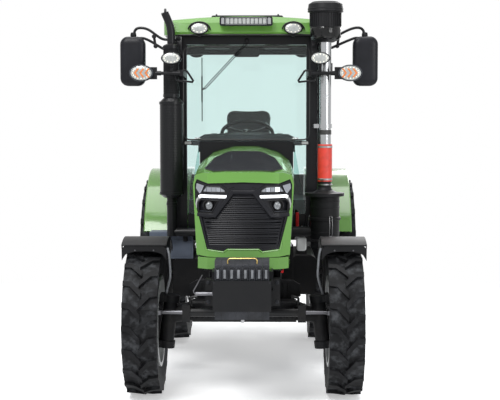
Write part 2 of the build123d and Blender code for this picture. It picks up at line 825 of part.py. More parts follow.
# fixed band under the nose, on two brackets from the carrier
band_top_z = nose_foot_z - 8
band_bottom_z = 966
with BuildPart() as nose_band:
    with BuildSketch(Plane.XY.offset(band_bottom_z)):
        with BuildLine():
            ThreePointArc((-240, nose_y + 29), (0, nose_y), (240, nose_y + 29))
            Polyline(
                (240, nose_y + 29), (305, nose_y + 82), (318, nose_y + 330), (298, nose_y + 330),
                (286, nose_y + 90), (236, nose_y + 50),
            )
            ThreePointArc((236, nose_y + 50), (0, nose_y + 21), (-236, nose_y + 50))
            Polyline(
                (-236, nose_y + 50), (-286, nose_y + 90), (-298, nose_y + 330),
                (-318, nose_y + 330), (-305, nose_y + 82), (-240, nose_y + 29),
            )
        make_face()
    extrude(amount=band_top_z - band_bottom_z)
    for side in (1, -1):
        with BuildSketch(Plane.XY.offset(support_top_z + seat_gap)):
            with Locations((side * (support_half - 30), nose_y + 60)):
                Rectangle(30, 80)
        extrude(amount=band_top_z - support_top_z - 30)
        # rubber stop under the hood's foot
        with BuildSketch(Plane.XY.offset(band_top_z - 2)):
            with Locations((side * 307, nose_y + 230)):
                Rectangle(14, 40)
        extrude(amount=10 - seat_gap)
finish(nose_band.part, "nose_band")


# ---------------------------------------------------------------- cab
def cab_plan(inset):
    """Plan of the cab, wider at the middle posts; inset moves it in all round."""
    corners = (
        (cab_front_half - inset, cab_front_y + inset),
        (cab_mid_half - inset, cab_mid_y),
        (cab_rear_half - inset, cab_rear_y - inset),
    )
    return [*corners, *[(-x, y) for x, y in reversed(corners)]]


door_turn = atan2(cab_mid_half - cab_front_half, cab_mid_y - cab_front_y)
door_length = sqrt((cab_mid_half - cab_front_half) ** 2 + (cab_mid_y - cab_front_y) ** 2) - 40


def door_plane(side, outward):
    """Plane of a door: local x runs forwards from the middle post, local y up from the ground."""
    along = Vector(-side * sin(door_turn), -cos(door_turn), 0)
    normal = Vector(side * cos(door_turn), -sin(door_turn), 0)
    origin = Vector(side * cab_mid_half, cab_mid_y, 0) + normal * outward
    if side == 1:
        return Plane(origin=origin, x_dir=along * -1, z_dir=normal)
    return Plane(origin=origin, x_dir=along, z_dir=normal)


def hinge_point(side):
    """Axis of a door hinge, outside the middle post, in plan."""
    spot = door_plane(side, door_gap + door_thick + 6).origin
    return (spot.X, spot.Y)


floor_thick = 30
post_foot_z = cab_sill_z + floor_thick + seat_gap
post_front_y = cab_mid_y - 45
post_rear_y = cab_mid_y + 35
fender_clear = rear_fender_radius + rear_fender_skin + seat_gap
with BuildPart() as cab_frame:
    # ring under the roof
    with BuildSketch(Plane.XY.offset(cab_ring_z)):
        Polygon(*cab_plan(0), align=None)
        Polygon(*cab_plan(cab_rail), align=None, mode=Mode.SUBTRACT)
    extrude(amount=cab_ring)
    # front posts down to the sill, middle and rear posts down to the rear mudguards
    for side in (1, -1):
        with BuildSketch(Plane.XY.offset(post_foot_z)):
            with BuildLine():
                Polyline(
                    (side * cab_front_half, cab_front_y),
                    (side * (cab_front_half - pillar_width), cab_front_y),
                    (side * (cab_front_half - pillar_width), cab_front_y + 40),
                    (side * (cab_front_half - 40), cab_front_y + pillar_depth),
                    (side * (cab_front_half + 9), cab_front_y + pillar_depth),
                    close=True,
                )
            make_face()
        extrude(amount=cab_ring_z - post_foot_z)
        with BuildSketch(Plane.XY.offset(cab_sill_z + 300)):
            with BuildLine():
                Polyline(
                    (side * (cab_mid_half - 5.5), post_front_y),
                    (side * cab_mid_half, cab_mid_y),
                    (side * (cab_mid_half - 1.5), post_rear_y),
                    (side * (cab_mid_half - 46), post_rear_y),
                    (side * (cab_mid_half - 46), post_front_y),
                    close=True,
                )
            make_face()
            with BuildLine():
                Polyline(
                    (side * cab_rear_half, cab_rear_y),
                    (side * (cab_rear_half + 2.5), cab_rear_y - 60),
                    (side * (cab_rear_half - 60), cab_rear_y - 60),
                    (side * (cab_rear_half - 60), cab_rear_y),
                    close=True,
                )
            make_face()
        extrude(amount=cab_ring_z - cab_sill_z - 300)
        # sill over the mudguard
        with BuildSketch(Plane.XY.offset(cab_sill_z + 320)):
            with BuildLine():
                Polyline(
                    (side * (cab_mid_half - 5), post_front_y + 4),
                    (side * (cab_mid_half - 1.5), post_rear_y),
                    (side * cab_rear_half, cab_rear_y),
                    (side * (cab_rear_half - 34), cab_rear_y),
                    (side * (cab_mid_half - 46), post_rear_y),
                    (side * (cab_mid_half - 46), post_front_y + 4),
                    close=True,
                )
            make_face()
        extrude(amount=260)
    # door hinge lugs and pins on the middle posts
    for side in (1, -1):
        for z in hinge_heights:
            with BuildSketch(door_plane(side, -6)):
                with Locations((side * 12, z - 18)):
                    Rectangle(24, 39)
            extrude(amount=54)
            with BuildSketch(Plane.XY.offset(z - 37.5)):
                with Locations(hinge_point(side)):
                    Circle(hinge_pin)
            extrude(amount=39.2)
    # the posts and sills stand on the round mudguards
    with BuildSketch(Plane.YZ.offset(-cab_mid_half - 10)):
        with Locations((rear_axle_y, rear_radius)):
            Circle(fender_clear)
    extrude(amount=2 * cab_mid_half + 20, mode=Mode.SUBTRACT)
finish(cab_frame.part, "cab_frame")

member_half = 196           # clears the gearbox
member_foot_z = 610
floor_half = rear_fender_inner_x - 2
deck_front_y = 430
deck_z = 1290
with BuildPart() as cab_body:
    # floor, step up to the seat deck, deck and rear wall
    with BuildSketch(Plane.YZ.offset(-floor_half)):
        with BuildLine():
            Polyline(
                (cab_front_y + 8, cab_sill_z),
                (cab_front_y + 8, cab_sill_z + floor_thick),
                (deck_front_y, cab_sill_z + floor_thick),
                (deck_front_y, deck_z),
                (cab_rear_y - 12, deck_z),
                (cab_rear_y - 12, 1470),
                (cab_rear_y, 1470),
                (cab_rear_y, cab_sill_z + 40),
                (cab_rear_y - 12, cab_sill_z + 40),
                (cab_rear_y - 12, deck_z - 12),
                (deck_front_y + 12, deck_z - 12),
                (deck_front_y + 12, cab_sill_z),
                close=True,
            )
        make_face()
    extrude(amount=2 * floor_half)
    # front wall with the cowl that carries the dash
    with BuildSketch(Plane.XZ.offset(-cab_front_y)):
        with BuildLine():
            Polyline(
                (-floor_half + 34, cab_sill_z),
                (-floor_half + 34, corner_glass_z - 3),
                (-cowl_half, corner_glass_z - 3),
                (-cowl_half, beam_z),
                (cowl_half, beam_z),
                (cowl_half, corner_glass_z - 3),
                (floor_half - 34, corner_glass_z - 3),
                (floor_half - 34, cab_sill_z),
                close=True,
            )
        make_face()
    extrude(amount=-8)
    # cross member below the floor's front edge, one web each side of the gearbox
    for from_x, to_x in ((member_half, 346), (-member_half, -288)):
        with BuildSketch(Plane.XZ.offset(-cab_front_y - 8)):
            Polygon(
                (from_x, cab_sill_z + 1), (to_x, cab_sill_z + 1), (to_x, member_foot_z + 70),
                (to_x - (to_x - from_x) / 3, member_foot_z), (from_x, member_foot_z), align=None,
            )
        extrude(amount=-14)
    # hood hinge plates with their pins
    for side in (1, -1):
        with BuildSketch(Plane.YZ.offset(side * 120)):
            with Locations(hood_hinge):
                Circle(17)
                Rectangle(cab_front_y - hood_hinge[0] + 2, 34, align=(Align.MIN, Align.CENTER))
        extrude(amount=side * 25)
        with BuildSketch(Plane.YZ.offset(side * 140)):
            with Locations(hood_hinge):
                Circle(hood_pin)
        extrude(amount=side * 26)
finish(cab_body.part, "cab_body")

inner_front = cab_front_half - pillar_width - seat_gap
windscreen = [
    (-inner_front, corner_glass_z), (-inner_front, cab_ring_z - seat_gap), (inner_front, cab_ring_z - seat_gap),
    (inner_front, corner_glass_z), (cowl_half + 4, corner_glass_z), (cowl_half + 4, beam_z + 4),
    (-cowl_half - 4, beam_z + 4), (-cowl_half - 4, corner_glass_z),
]
with BuildPart() as cab_glass:
    with BuildSketch(Plane.XZ.offset(-cab_front_y - 10)):
        Polygon(*windscreen, align=None)
    extrude(amount=-glass)
    # rear window
    with BuildSketch(Plane.XZ.offset(-cab_rear_y + 20)):
        with Locations((0, 1476)):
            Rectangle(2 * (rear_fender_inner_x - 4), 300, align=(Align.CENTER, Align.MIN))
        with Locations((0, 1540)):
            Rectangle(2 * (cab_rear_half - 60.3), cab_ring_z - 1540.3, align=(Align.CENTER, Align.MIN))
    extrude(amount=-glass)
    # quarter windows behind the doors
    for side in (1, -1):
        with BuildSketch(Plane.YZ.offset(side * (cab_rear_half - 20))):
            with Locations((post_rear_y + seat_gap, cab_sill_z + 580 + seat_gap)):
                Rectangle(cab_rear_y - post_rear_y - 60 - 2 * seat_gap, cab_ring_z - cab_sill_z - 580 - 2 * seat_gap,
                          align=Align.MIN)
        extrude(amount=side * glass)
finish(cab_glass.part, "cab_glass")

with BuildPart() as roof:
    with BuildSketch(Plane.XY.offset(roof_bottom_z)):
        with Locations((0, (roof_front_y + roof_rear_y) / 2)):
            RectangleRounded(2 * roof_half, roof_rear_y - roof_front_y, 90)
    extrude(amount=roof_edge + roof_crown)
    # crowned across and rounded down to the front and rear
    crown_radius = (roof_half ** 2 + roof_crown ** 2) / (2 * roof_crown)
    with BuildSketch(Plane.XZ.offset(-roof_front_y)):
        with Locations((0, roof_bottom_z + roof_edge + roof_crown - crown_radius)):
            Circle(crown_radius)
    extrude(amount=-(roof_rear_y - roof_front_y), mode=Mode.INTERSECT)
    with BuildSketch(Plane.YZ.offset(-roof_half)):
        with BuildLine():
            Polyline(
                (roof_front_y + 12, roof_bottom_z),
                (roof_front_y, roof_bottom_z + 20),
                (roof_front_y + 14, roof_bottom_z + 92),
                (roof_front_y + 120, roof_bottom_z + roof_edge + roof_crown),
                (roof_rear_y - 200, roof_bottom_z + roof_edge + roof_crown),
                (roof_rear_y, roof_bottom_z + 70),
                (roof_rear_y, roof_bottom_z),
                close=True,
            )
        make_face()
    extrude(amount=2 * roof_half, mode=Mode.INTERSECT)
    with BuildSketch(Plane.XY.offset(hatch_seat_z)):
        with Locations((0, hatch_y)):
            RectangleRounded(hatch_width + 2, hatch_length + 2, 61)
    extrude(amount=100, mode=Mode.SUBTRACT)
finish(roof.part, "roof")

rear_fender_end_z = cab_sill_z + 10
with BuildPart() as rear_fenders:
    for side in (1, -1):
        # skin, inner wall and turned-down outer lip, all above one level
        for start, width, radius, hollow in (
            (rear_fender_inner_x, rear_fender_outer_x - rear_fender_inner_x, rear_fender_skin, 0),
            (rear_fender_inner_x, 8, 0, None),
            (rear_fender_outer_x - 6, 6, 0, -28),
        ):
            with BuildSketch(Plane.YZ.offset(side * start)):
                with Locations((rear_axle_y, rear_radius)):
                    Circle(rear_fender_radius + radius)
                    if hollow is not None:
                        Circle(rear_fender_radius + hollow, mode=Mode.SUBTRACT)
                with Locations((rear_axle_y, rear_fender_end_z)):
                    Rectangle(1800, 2000, align=(Align.CENTER, Align.MAX), mode=Mode.SUBTRACT)
            extrude(amount=side * width)
        # the outer edge runs inwards towards the front foot
        with BuildSketch(Plane.XY.offset(rear_fender_end_z - 1)):
            with BuildLine():
                Polyline(
                    (side * (rear_fender_outer_x + 5), rear_axle_y - rear_fender_radius - 60),
                    (side * (rear_fender_outer_x - 80), rear_axle_y - rear_fender_radius - 60),
                    (side * (rear_fender_outer_x + 5), rear_axle_y - 350),
                    close=True,
                )
            make_face()
        extrude(amount=600, mode=Mode.SUBTRACT)
finish(rear_fenders.part, "rear_fenders")


# ---------------------------------------------------------------- doors
door_arc = rear_fender_radius + rear_fender_skin + door_sweep


def door_outline(side, inset):
    """Door leaf: the rear lower corner follows the mudguard's arc."""
    run = cos(door_turn)
    rear = 12 + inset
    fore = door_length - inset
    foot = door_bottom_z + inset
    arc = door_arc + inset
    axle_run = (rear_axle_y - cab_mid_y) / run

    def arc_z(s):
        return rear_radius + sqrt(arc ** 2 - (axle_run + s) ** 2 * run ** 2)

    low_run = sqrt(arc ** 2 - (foot - rear_radius) ** 2) / run - axle_run
    middle = (rear + low_run) / 2
    flip = -side
    with BuildLine() as outline:
        ThreePointArc((flip * rear, arc_z(rear)), (flip * middle, arc_z(middle)), (flip * low_run, foot))
        Polyline(
            (flip * low_run, foot),
            (flip * fore, foot),
            (flip * fore, door_top_z - inset),
            (flip * rear, door_top_z - inset),
            (flip * rear, arc_z(rear)),
        )
    return outline.line


def door_sketch(side, outward, inset, hole=None):
    with BuildSketch(door_plane(side, outward), mode=Mode.PRIVATE) as sketch:
        with BuildLine():
            add(door_outline(side, inset))
        make_face()
        if hole:
            with BuildLine():
                add(door_outline(side, hole))
            make_face(mode=Mode.SUBTRACT)
    return sketch.sketch


for label, side in SIDES:
    with BuildPart() as door:
        extrude(door_sketch(side, door_gap, 0, door_frame), amount=door_thick)
        # hinge straps and eyes
        for z in hinge_heights:
            with BuildSketch(door_plane(side, door_gap + door_thick)):
                with Locations((-side * 60, z + 22)):
                    Rectangle(90, 40)
            extrude(amount=6)
            with BuildSketch(Plane.XY.offset(z + 2)):
                with Locations(hinge_point(side)):
                    Circle(hinge_pin)
            extrude(amount=40)
            with BuildSketch(door_plane(side, door_gap + door_thick)):
                with Locations((-side * 10, z + 22)):
                    Rectangle(24, 40)
            extrude(amount=6)
    finish(door.part, f"door_{label}")
    with BuildPart() as pane:
        extrude(door_sketch(side, door_gap + 12, door_frame + seat_gap), amount=glass)
    finish(pane.part, f"door_glass_{label}")


# ---------------------------------------------------------------- driver's place
floor_z = cab_sill_z + floor_thick
wheel_tilt = 30             # degrees of the steering wheel's plane
wheel_centre = (0, 110, 1850)
wheel_radius = 205
wheel_grip = 14
column_axis = Vector(0, sin(radians(wheel_tilt)), cos(radians(wheel_tilt)))


def column_plane(along):
    """Plane square to the steering column, so far below the steering wheel's centre."""
    return Plane(origin=Vector(*wheel_centre) - column_axis * along, x_dir=(1, 0, 0), z_dir=column_axis)


with BuildPart() as dashboard:
    # console from the floor to the binnacle, against the front wall
    with BuildSketch(Plane.YZ.offset(-170)):
        with BuildLine():
            Polyline(
                (cab_front_y + 20, floor_z + seat_gap),
                (cab_front_y + 20, 1845),
                (-130, 1862),
                (10, 1790),
                (-30, 1600),
                (-90, 1300),
                (-90, floor_z + seat_gap),
                close=True,
            )
        make_face()
    extrude(amount=340)
    with BuildSketch(column_plane(330)):
        Circle(55)
    extrude(amount=300)
    # cowl shelf across the cab
    with BuildSketch(Plane.YZ.offset(-floor_half + 60)):
        with BuildLine():
            Polyline(
                (cab_front_y + 20, 1770),
                (cab_front_y + 20, 1800),
                (-150, 1790),
                (-150, 1760),
                close=True,
            )
        make_face()
    extrude(amount=2 * floor_half - 120)
finish(dashboard.part, "dashboard")

with BuildPart() as steering_wheel:
    with BuildSketch(Plane(origin=Vector(*wheel_centre), x_dir=(1, 0, 0), z_dir=(0, -cos(radians(wheel_tilt)), sin(radians(wheel_tilt))))):
        with Locations((wheel_radius, 0)):
            RegularPolygon(wheel_grip, 8)
    revolve(axis=Axis(wheel_centre, tuple(column_axis)))
    with BuildSketch(column_plane(25)):
        Circle(48)
    extrude(amount=40)
    with BuildSketch(column_plane(8)):
        for turn in (90, 210, 330):
            with Locations(Rotation(0, 0, turn)):
                with Locations((wheel_radius / 2, 0)):
                    Rectangle(wheel_radius, 34)
    extrude(amount=8)
    with BuildSketch(column_plane(30 - seat_gap)):
        Circle(22)
    extrude(amount=10)
finish(steering_wheel.part, "steering_wheel")

seat_y = 720                # middle of the seat
seat_width = 460
with BuildPart() as seat_base:
    with BuildSketch(Plane.XY.offset(deck_z + seat_gap)):
        with Locations((0, seat_y)):
            RectangleRounded(360, 380, 40)
    with BuildSketch(Plane.XY.offset(deck_z + 140)):
        with Locations((0, seat_y)):
            RectangleRounded(300, 340, 40)
    loft()
    with BuildSketch(Plane.XY.offset(deck_z + 140)):
        with Locations((0, seat_y)):
            RectangleRounded(seat_width - 20, 440, 50)
    extrude(amount=25)
    with BuildSketch(Plane.XZ.offset(-(seat_y + 235))):
        with Locations((0, deck_z + 140)):
            Rectangle(200, 420, align=(Align.CENTER, Align.MIN))
    extrude(amount=20)
finish(seat_base.part, "seat_base")

cushion_z = deck_z + 165 + seat_gap
with BuildPart() as seat_cushions:
    with BuildSketch(Plane.XY.offset(cushion_z)):
        with Locations((0, seat_y - 30)):
            RectangleRounded(seat_width, 460, 60)
    extrude(amount=110)
    with BuildSketch(Plane.XZ.offset(-(seat_y + 235 - 20 - seat_gap))):
        with Locations((0, cushion_z + 125)):
            RectangleRounded(seat_width - 40, 480, 70, align=(Align.CENTER, Align.MIN))
    extrude(amount=100)
finish(seat_cushions.part, "seat_cushions")


# ---------------------------------------------------------------- stacks
exhaust_x = -cab_front_half - 20
exhaust_y = -450
intake_x = cab_front_half + 50
intake_y = -505
elbow_z = 1100


def stack(x, y, profile):
    """Turned piece about an upright axis from (radius, z) points."""
    with BuildPart() as piece:
        with BuildSketch(Plane(origin=(x, y, 0), x_dir=(1, 0, 0), z_dir=(0, -1, 0))):
            Polygon(*profile, align=None)
        revolve(axis=Axis((x, y, 0), (0, 0, 1)))
    return piece.part


with BuildPart() as exhaust:
    with BuildSketch(Plane(origin=(exhaust_x, exhaust_y, 0), x_dir=(1, 0, 0), z_dir=(0, -1, 0))):
        with BuildLine():
            Polyline(
                (0, elbow_z - 30), (38, elbow_z - 30), (38, 1368), (60, 1368), (88, 1392),
                (88, 2100), (58, 2130), (58, 2527), (29, 2540), (29, 2600), (0, 2600),
                close=True,
            )
        make_face()
    revolve(axis=Axis((exhaust_x, exhaust_y, 0), (0, 0, 1)))
    # tail pipe, bent towards the middle of the machine's right side
    with BuildLine():
        Line((exhaust_x, exhaust_y, 2590), (exhaust_x, exhaust_y, 2640))
        RadiusArc((exhaust_x, exhaust_y, 2640), (exhaust_x - 48, exhaust_y, 2775), -220)
    with BuildSketch(Plane.XY.offset(2590)):
        with Locations((exhaust_x, exhaust_y)):
            Circle(29)
    sweep()
    # elbow to the engine's side
    with BuildSketch(Plane.YZ.offset(exhaust_x)):
        with Locations((exhaust_y, elbow_z)):
            Circle(32)
    extrude(amount=-exhaust_x - engine_half - seat_gap)
    # bracket to the cab's front post
    for z in (1440, 2000):
        with BuildSketch(Plane.XY.offset(z)):
            with Locations((exhaust_x + 20, cab_front_y - seat_gap)):
                Rectangle(60, cab_front_y - exhaust_y - 60, align=(Align.CENTER, Align.MAX))
        extrude(amount=40)
finish(exhaust.part, "exhaust")

with BuildPart() as air_cleaner:
    with BuildSketch(Plane(origin=(intake_x, intake_y, 0), x_dir=(1, 0, 0), z_dir=(0, -1, 0))):
        with BuildLine():
            Polyline(
                (0, 1035), (60, 1035), (112, 1060), (112, 1200), (122, 1204), (122, 1222),
                (112, 1226), (112, 1380), (147, 1385), (147, 1408), (95, 1412), (60, 1430),
                (48, 1450), (48, 1495), (0, 1495),
                close=True,
            )
        make_face()
    revolve(axis=Axis((intake_x, intake_y, 0), (0, 0, 1)))
    with BuildSketch(Plane.YZ.offset(intake_x)):
        with Locations((intake_y, elbow_z + 10)):
            Circle(40)
    extrude(amount=engine_half + seat_gap - intake_x)
    with BuildSketch(Plane.XY.offset(1290)):
        with Locations((intake_x - 70, cab_front_y - seat_gap)):
            Rectangle(50, cab_front_y - intake_y - 80, align=(Align.CENTER, Align.MAX))
    extrude(amount=50)
finish(air_cleaner.part, "air_cleaner")

finish(
    stack(intake_x, intake_y, (
        (0, 1495 + seat_gap), (55, 1495 + seat_gap), (55, 1777), (46, 1777), (46, 1760), (0, 1760),
    )),
    "intake_hose",
)
with BuildPart() as intake_pipe:
    with BuildSketch(Plane(origin=(intake_x, intake_y, 0), x_dir=(1, 0, 0), z_dir=(0, -1, 0))):
        with BuildLine():
            Polyline(
                (0, 1760 + seat_gap), (45, 1760 + seat_gap), (45, 2545), (0, 2545), close=True,
            )
        make_face()
    revolve(axis=Axis((intake_x, intake_y, 0), (0, 0, 1)))
    # clamp to the front post
    with BuildSketch(Plane.XY.offset(1900)):
        with Locations((intake_x - 65, cab_front_y - seat_gap)):
            Rectangle(40, cab_front_y - intake_y + 20, align=(Align.CENTER, Align.MAX))
        with Locations((intake_x, intake_y)):
            Circle(52)
            with Locations((-32, 0)):
                Rectangle(64, 40)
    extrude(amount=30)
finish(intake_pipe.part, "intake_pipe")

finish(
    stack(intake_x, intake_y, (
        (0, 2545 + seat_gap), (62, 2545 + seat_gap), (104, 2565), (112, 2650), (116, 2655),
        (116, 2768), (135, 2772), (128, 2830), (100, 2847), (0, 2847),
    )),
    "precleaner",
)


# ---------------------------------------------------------------- mirrors and lamps
mirror_x = {1: 915, -1: 875}         # the left one reaches further out
mirror_y = -330
mirror_z = (2222, 2600)
arm_radius = 10
with BuildPart() as mirrors:
    for side in (1, -1):
        with BuildSketch(Plane.XZ.offset(-mirror_y)):
            with Locations((side * mirror_x[side], sum(mirror_z) / 2)):
                RectangleRounded(190, mirror_z[1] - mirror_z[0], 60)
        extrude(amount=30, both=True)
        reach = mirror_x[side]
        for path in (
            ((520, 2572), (660, 2582), (reach - 55, 2668), (reach - 10, 2590)),
            ((520, 2487), (640, 2505), (reach - 90, 2590), (reach - 10, 2570)),
        ):
            with BuildLine():
                Polyline(*[(side * x, mirror_y, z) for x, z in path])
            start = Vector(side * path[0][0], mirror_y, path[0][1])
            toward = Vector(side * (path[1][0] - path[0][0]), 0, path[1][1] - path[0][1])
            with BuildSketch(Plane(origin=start, z_dir=toward)):
                Circle(arm_radius)
            sweep(transition=Transition.RIGHT)
        # root plate on the front post
        with BuildSketch(Plane.XZ.offset(-mirror_y + 14)):
            with Locations((side * 520, 2530)):
                Rectangle(46, 150)
        extrude(amount=-(cab_front_y - seat_gap - mirror_y + 14))
finish(mirrors.part, "mirrors")

post_lamp = (555, 2420)
turn_lamp = (780, 2310)
roof_lamp = (360, 2660)
lamp_y = -640               # front faces of the lamps carried ahead of the stacks


with BuildPart() as turn_lamps:
    for side in (1, -1):
        with BuildSketch(Plane.XZ.offset(-lamp_y)):
            with Locations((side * turn_lamp[0], turn_lamp[1])):
                Ellipse(89, 60)
        extrude(amount=-45)
        # housing arm, cross tube and the bracket back to the front post
        with BuildSketch(Plane.XZ.offset(-lamp_y - 20)):
            with Locations((side * (turn_lamp[0] - 85), turn_lamp[1])):
                Rectangle(60, 90)
        extrude(amount=-30)
        with BuildSketch(Plane.YZ.offset(side * 468)):
            with Locations((lamp_y + 35, turn_lamp[1])):
                Circle(13)
        extrude(amount=side * 220)
        with BuildSketch(Plane.XZ.offset(-lamp_y - 22)):
            with Locations((side * 481, turn_lamp[1])):
                Rectangle(26, 44)
        extrude(amount=lamp_y + 22 - cab_front_y + seat_gap)
        # rear lamps on the mudguards
        with BuildSketch(Plane.XZ.offset(-rear_axle_y - 730)):
            with Locations((side * 700, 1180)):
                RectangleRounded(160, 70, 20)
        extrude(amount=160)
    with BuildSketch(Plane.YZ.offset(-rear_fender_outer_x - 10)):
        with Locations((rear_axle_y, rear_radius)):
            Circle(fender_clear)
    extrude(amount=2 * rear_fender_outer_x + 20, mode=Mode.SUBTRACT)
finish(turn_lamps.part, "turn_lamps")

with BuildPart() as work_lamps:
    for side in (1, -1):
        # on the cross tubes ahead of the front posts
        with BuildSketch(Plane.XZ.offset(-lamp_y)):
            with Locations((side * post_lamp[0], post_lamp[1])):
                Ellipse(74, 43)
        extrude(amount=-55)
        with BuildSketch(Plane.XY.offset(turn_lamp[1] + 13 + seat_gap)):
            with Locations((side * post_lamp[0], lamp_y + 35)):
                Rectangle(24, 20)
        extrude(amount=post_lamp[1] - turn_lamp[1] - 43)
        # under the roof's front edge
        with BuildSketch(Plane.XZ.offset(-roof_front_y + 25 + seat_gap)):
            with Locations((side * roof_lamp[0], roof_lamp[1])):
                Ellipse(71, 42)
        extrude(amount=-25)
        # at the rear corners of the roof
        with BuildSketch(Plane.XZ.offset(-cab_rear_y - 60)):
            with Locations((side * 480, roof_bottom_z - 46)):
                Ellipse(70, 42)
        extrude(amount=-40)
        with BuildSketch(Plane.XZ.offset(-cab_rear_y - seat_gap)):
            with Locations((side * 480, roof_bottom_z - 46)):
                Rectangle(30, 30)
        extrude(amount=-61)
finish(work_lamps.part, "work_lamps")

with BuildPart() as light_bar:
    with BuildSketch(Plane.XZ.offset(-roof_front_y + 70)):
        with Locations((0, 2712)):
            RectangleRounded(405, 66, 12)
    extrude(amount=-55)
    for side in (1, -1):
        with BuildSketch(Plane.XZ.offset(-roof_front_y + 16)):
            with Locations((side * 120, 2690)):
                Rectangle(20, 20)
        extrude(amount=-24.4)
finish(light_bar.part, "light_bar")

with BuildPart() as roof_hatch:
    with BuildSketch(Plane.XY.offset(hatch_seat_z + seat_gap)):
        with Locations((0, hatch_y)):
            RectangleRounded(hatch_width, hatch_length, 60)
    extrude(amount=hatch_height)
    with BuildSketch(Plane.XY.offset(hatch_seat_z + hatch_height)):
        with Locations((0, hatch_y)):
            RectangleRounded(hatch_width, hatch_length, 60)
    extrude(amount=25, taper=25)
finish(roof_hatch.part, "roof_hatch")


# ---------------------------------------------------------------- tank, box and steps
# middle, width, lowest and highest of each tank, left and right
tanks = ((1, 446, 186, 614, 914), (-1, 430, 270, 600, 890))
tank_front_y = -410
with BuildPart() as fuel_tank:
    for side, middle, width, low, high in tanks:
        with BuildSketch(Plane.XZ.offset(-tank_front_y)):
            with Locations((side * middle, (low + high) / 2)):
                RectangleRounded(width, high - low, 40)
        extrude(amount=-700)
        for y in (-90, 150):
            with BuildSketch(Plane.XZ.offset(-y)):
                with Locations((side * (gearbox_half + seat_gap), 840)):
                    Rectangle(middle - gearbox_half - 30, 40, align=(near[side], Align.CENTER))
            extrude(amount=-50)
finish(fuel_tank.part, "fuel_tank")

box_foot_z = tanks[1][4] + seat_gap
box_top_z = 1096
box_outer_x = 745
with BuildPart() as battery_box:
    with BuildSketch(Plane.YZ.offset(-box_outer_x)):
        with BuildLine():
            Polyline(
                (-405, box_foot_z), (-405, box_top_z), (-265, box_top_z), (-265, 1005), (-60, 1005),
                (-60, box_foot_z), close=True,
            )
        make_face()
    extrude(amount=box_outer_x - 410)
finish(battery_box.part, "battery_box")

with BuildPart() as steps:
    for side in (1, -1):
        for z, reach in ((480, 800), (700, 770)):
            with BuildSketch(Plane.XY.offset(z)):
                with Locations((side * (reach - 90), 110)):
                    RectangleRounded(180, 300, 15)
            extrude(amount=25)
        for y in (-40, 240):
            with BuildSketch(Plane.XZ.offset(-y)):
                with BuildLine():
                    Polyline(
                        (side * 440, cab_sill_z - seat_gap),
                        (side * 645, cab_sill_z - seat_gap),
                        (side * 645, 480),
                        (side * 605, 480),
                        (side * 605, cab_sill_z - 35),
                        (side * 440, cab_sill_z - 35),
                        close=True,
                    )
                make_face()
            extrude(amount=-12)
finish(steps.part, "steps")


# ---------------------------------------------------------------- rear hitch
with BuildPart() as pto_shaft:
    with BuildSketch(Plane.XZ.offset(-housing_rear_y + 30)):
        with Locations((0, pto_z)):
            Circle(pto_shank)
    extrude(amount=-40)
    with BuildSketch(Plane.XZ.offset(-housing_rear_y - 5)):
        with Locations((0, pto_z)):
            Circle(pto_radius)
    extrude(amount=-85)
finish(pto_shaft.part, "pto_shaft")

with BuildPart() as pto_guard:
    with BuildSketch(Plane.XZ.offset(-housing_rear_y - seat_gap)):
        with BuildLine():
            Polyline(
                (-110, pto_z - 60), (-110, pto_z + 90), (110, pto_z + 90), (110, pto_z - 60),
                (102, pto_z - 60), (102, pto_z + 82), (-102, pto_z + 82), (-102, pto_z - 60),
                close=True,
            )
        make_face()
    extrude(amount=-150)
finish(pto_guard.part, "pto_guard")

with BuildPart() as drawbar:
    with BuildSketch(Plane.XY.offset(drawbar_z - 15)):
        with Locations((0, 1520)):
            Rectangle(80, 500)
        with Locations((0, drawbar_hole_y)):
            Circle(drawbar_hole, mode=Mode.SUBTRACT)
    extrude(amount=30)
    with BuildSketch(Plane.XY.offset(drawbar_z + 10)):
        with Locations((0, 1335)):
            Rectangle(160, 110)
    extrude(amount=housing_bottom_z - seat_gap - drawbar_z - 10)
finish(drawbar.part, "drawbar")


def link_point(pivot, length, angle):
    """Point at a length from a pivot, at an angle above the rearward level."""
    return (pivot[0] + length * cos(radians(angle)), pivot[1] + length * sin(radians(angle)))


def bar_part(side, from_x, width, points, radii, bores, thick):
    """Flat bar across the machine's side plane: eyes at the points, joined by straight webs."""
    with BuildPart() as bar:
        with BuildSketch(Plane.YZ.offset(side * from_x)):
            for (y0, z0), (y1, z1) in zip(points, points[1:]):
                run = Vector(y1 - y0, z1 - z0)
                with Locations(Location((y0, z0, 0), (0, 0, degrees(atan2(run.Y, run.X))))):
                    Rectangle(run.length, thick, align=(Align.MIN, Align.CENTER))
            for point, radius in zip(points, radii):
                with Locations(point):
                    Circle(radius)
            for point, bore in zip(points, bores):
                if bore:
                    with Locations(point):
                        Circle(bore, mode=Mode.SUBTRACT)
        extrude(amount=side * width)
    return bar.part


def pin_part(side, from_x, width, point, radius):
    with BuildPart() as pin:
        with BuildSketch(Plane.YZ.offset(side * from_x)):
            with Locations(point):
                Circle(radius)
        extrude(amount=side * width)
    return pin.part


lift_end = link_point(lift_pivot, rod_reach, hitch_rest)
rod_foot = link_point(link_pivot, rod_reach, hitch_rest)
link_ball = link_point(link_pivot, link_length, hitch_rest)
top_eye = link_point(top_pivot, top_length, top_rest)
with BuildPart() as lift_arms:
    for side in (1, -1):
        add(bar_part(side, 265, 30, (lift_pivot, lift_end), (52, 26), (shaft_radius + seat_gap, 0), 46))
        add(pin_part(side, 280, 50, lift_end, hitch_pin))
finish(lift_arms.part, "lift_arms")

with BuildPart() as lift_rods:
    for side in (1, -1):
        add(bar_part(side, 300, 25, (lift_end, rod_foot), (27, 27), (hitch_pin + seat_gap, hitch_pin + 2), 30))
finish(lift_rods.part, "lift_rods")

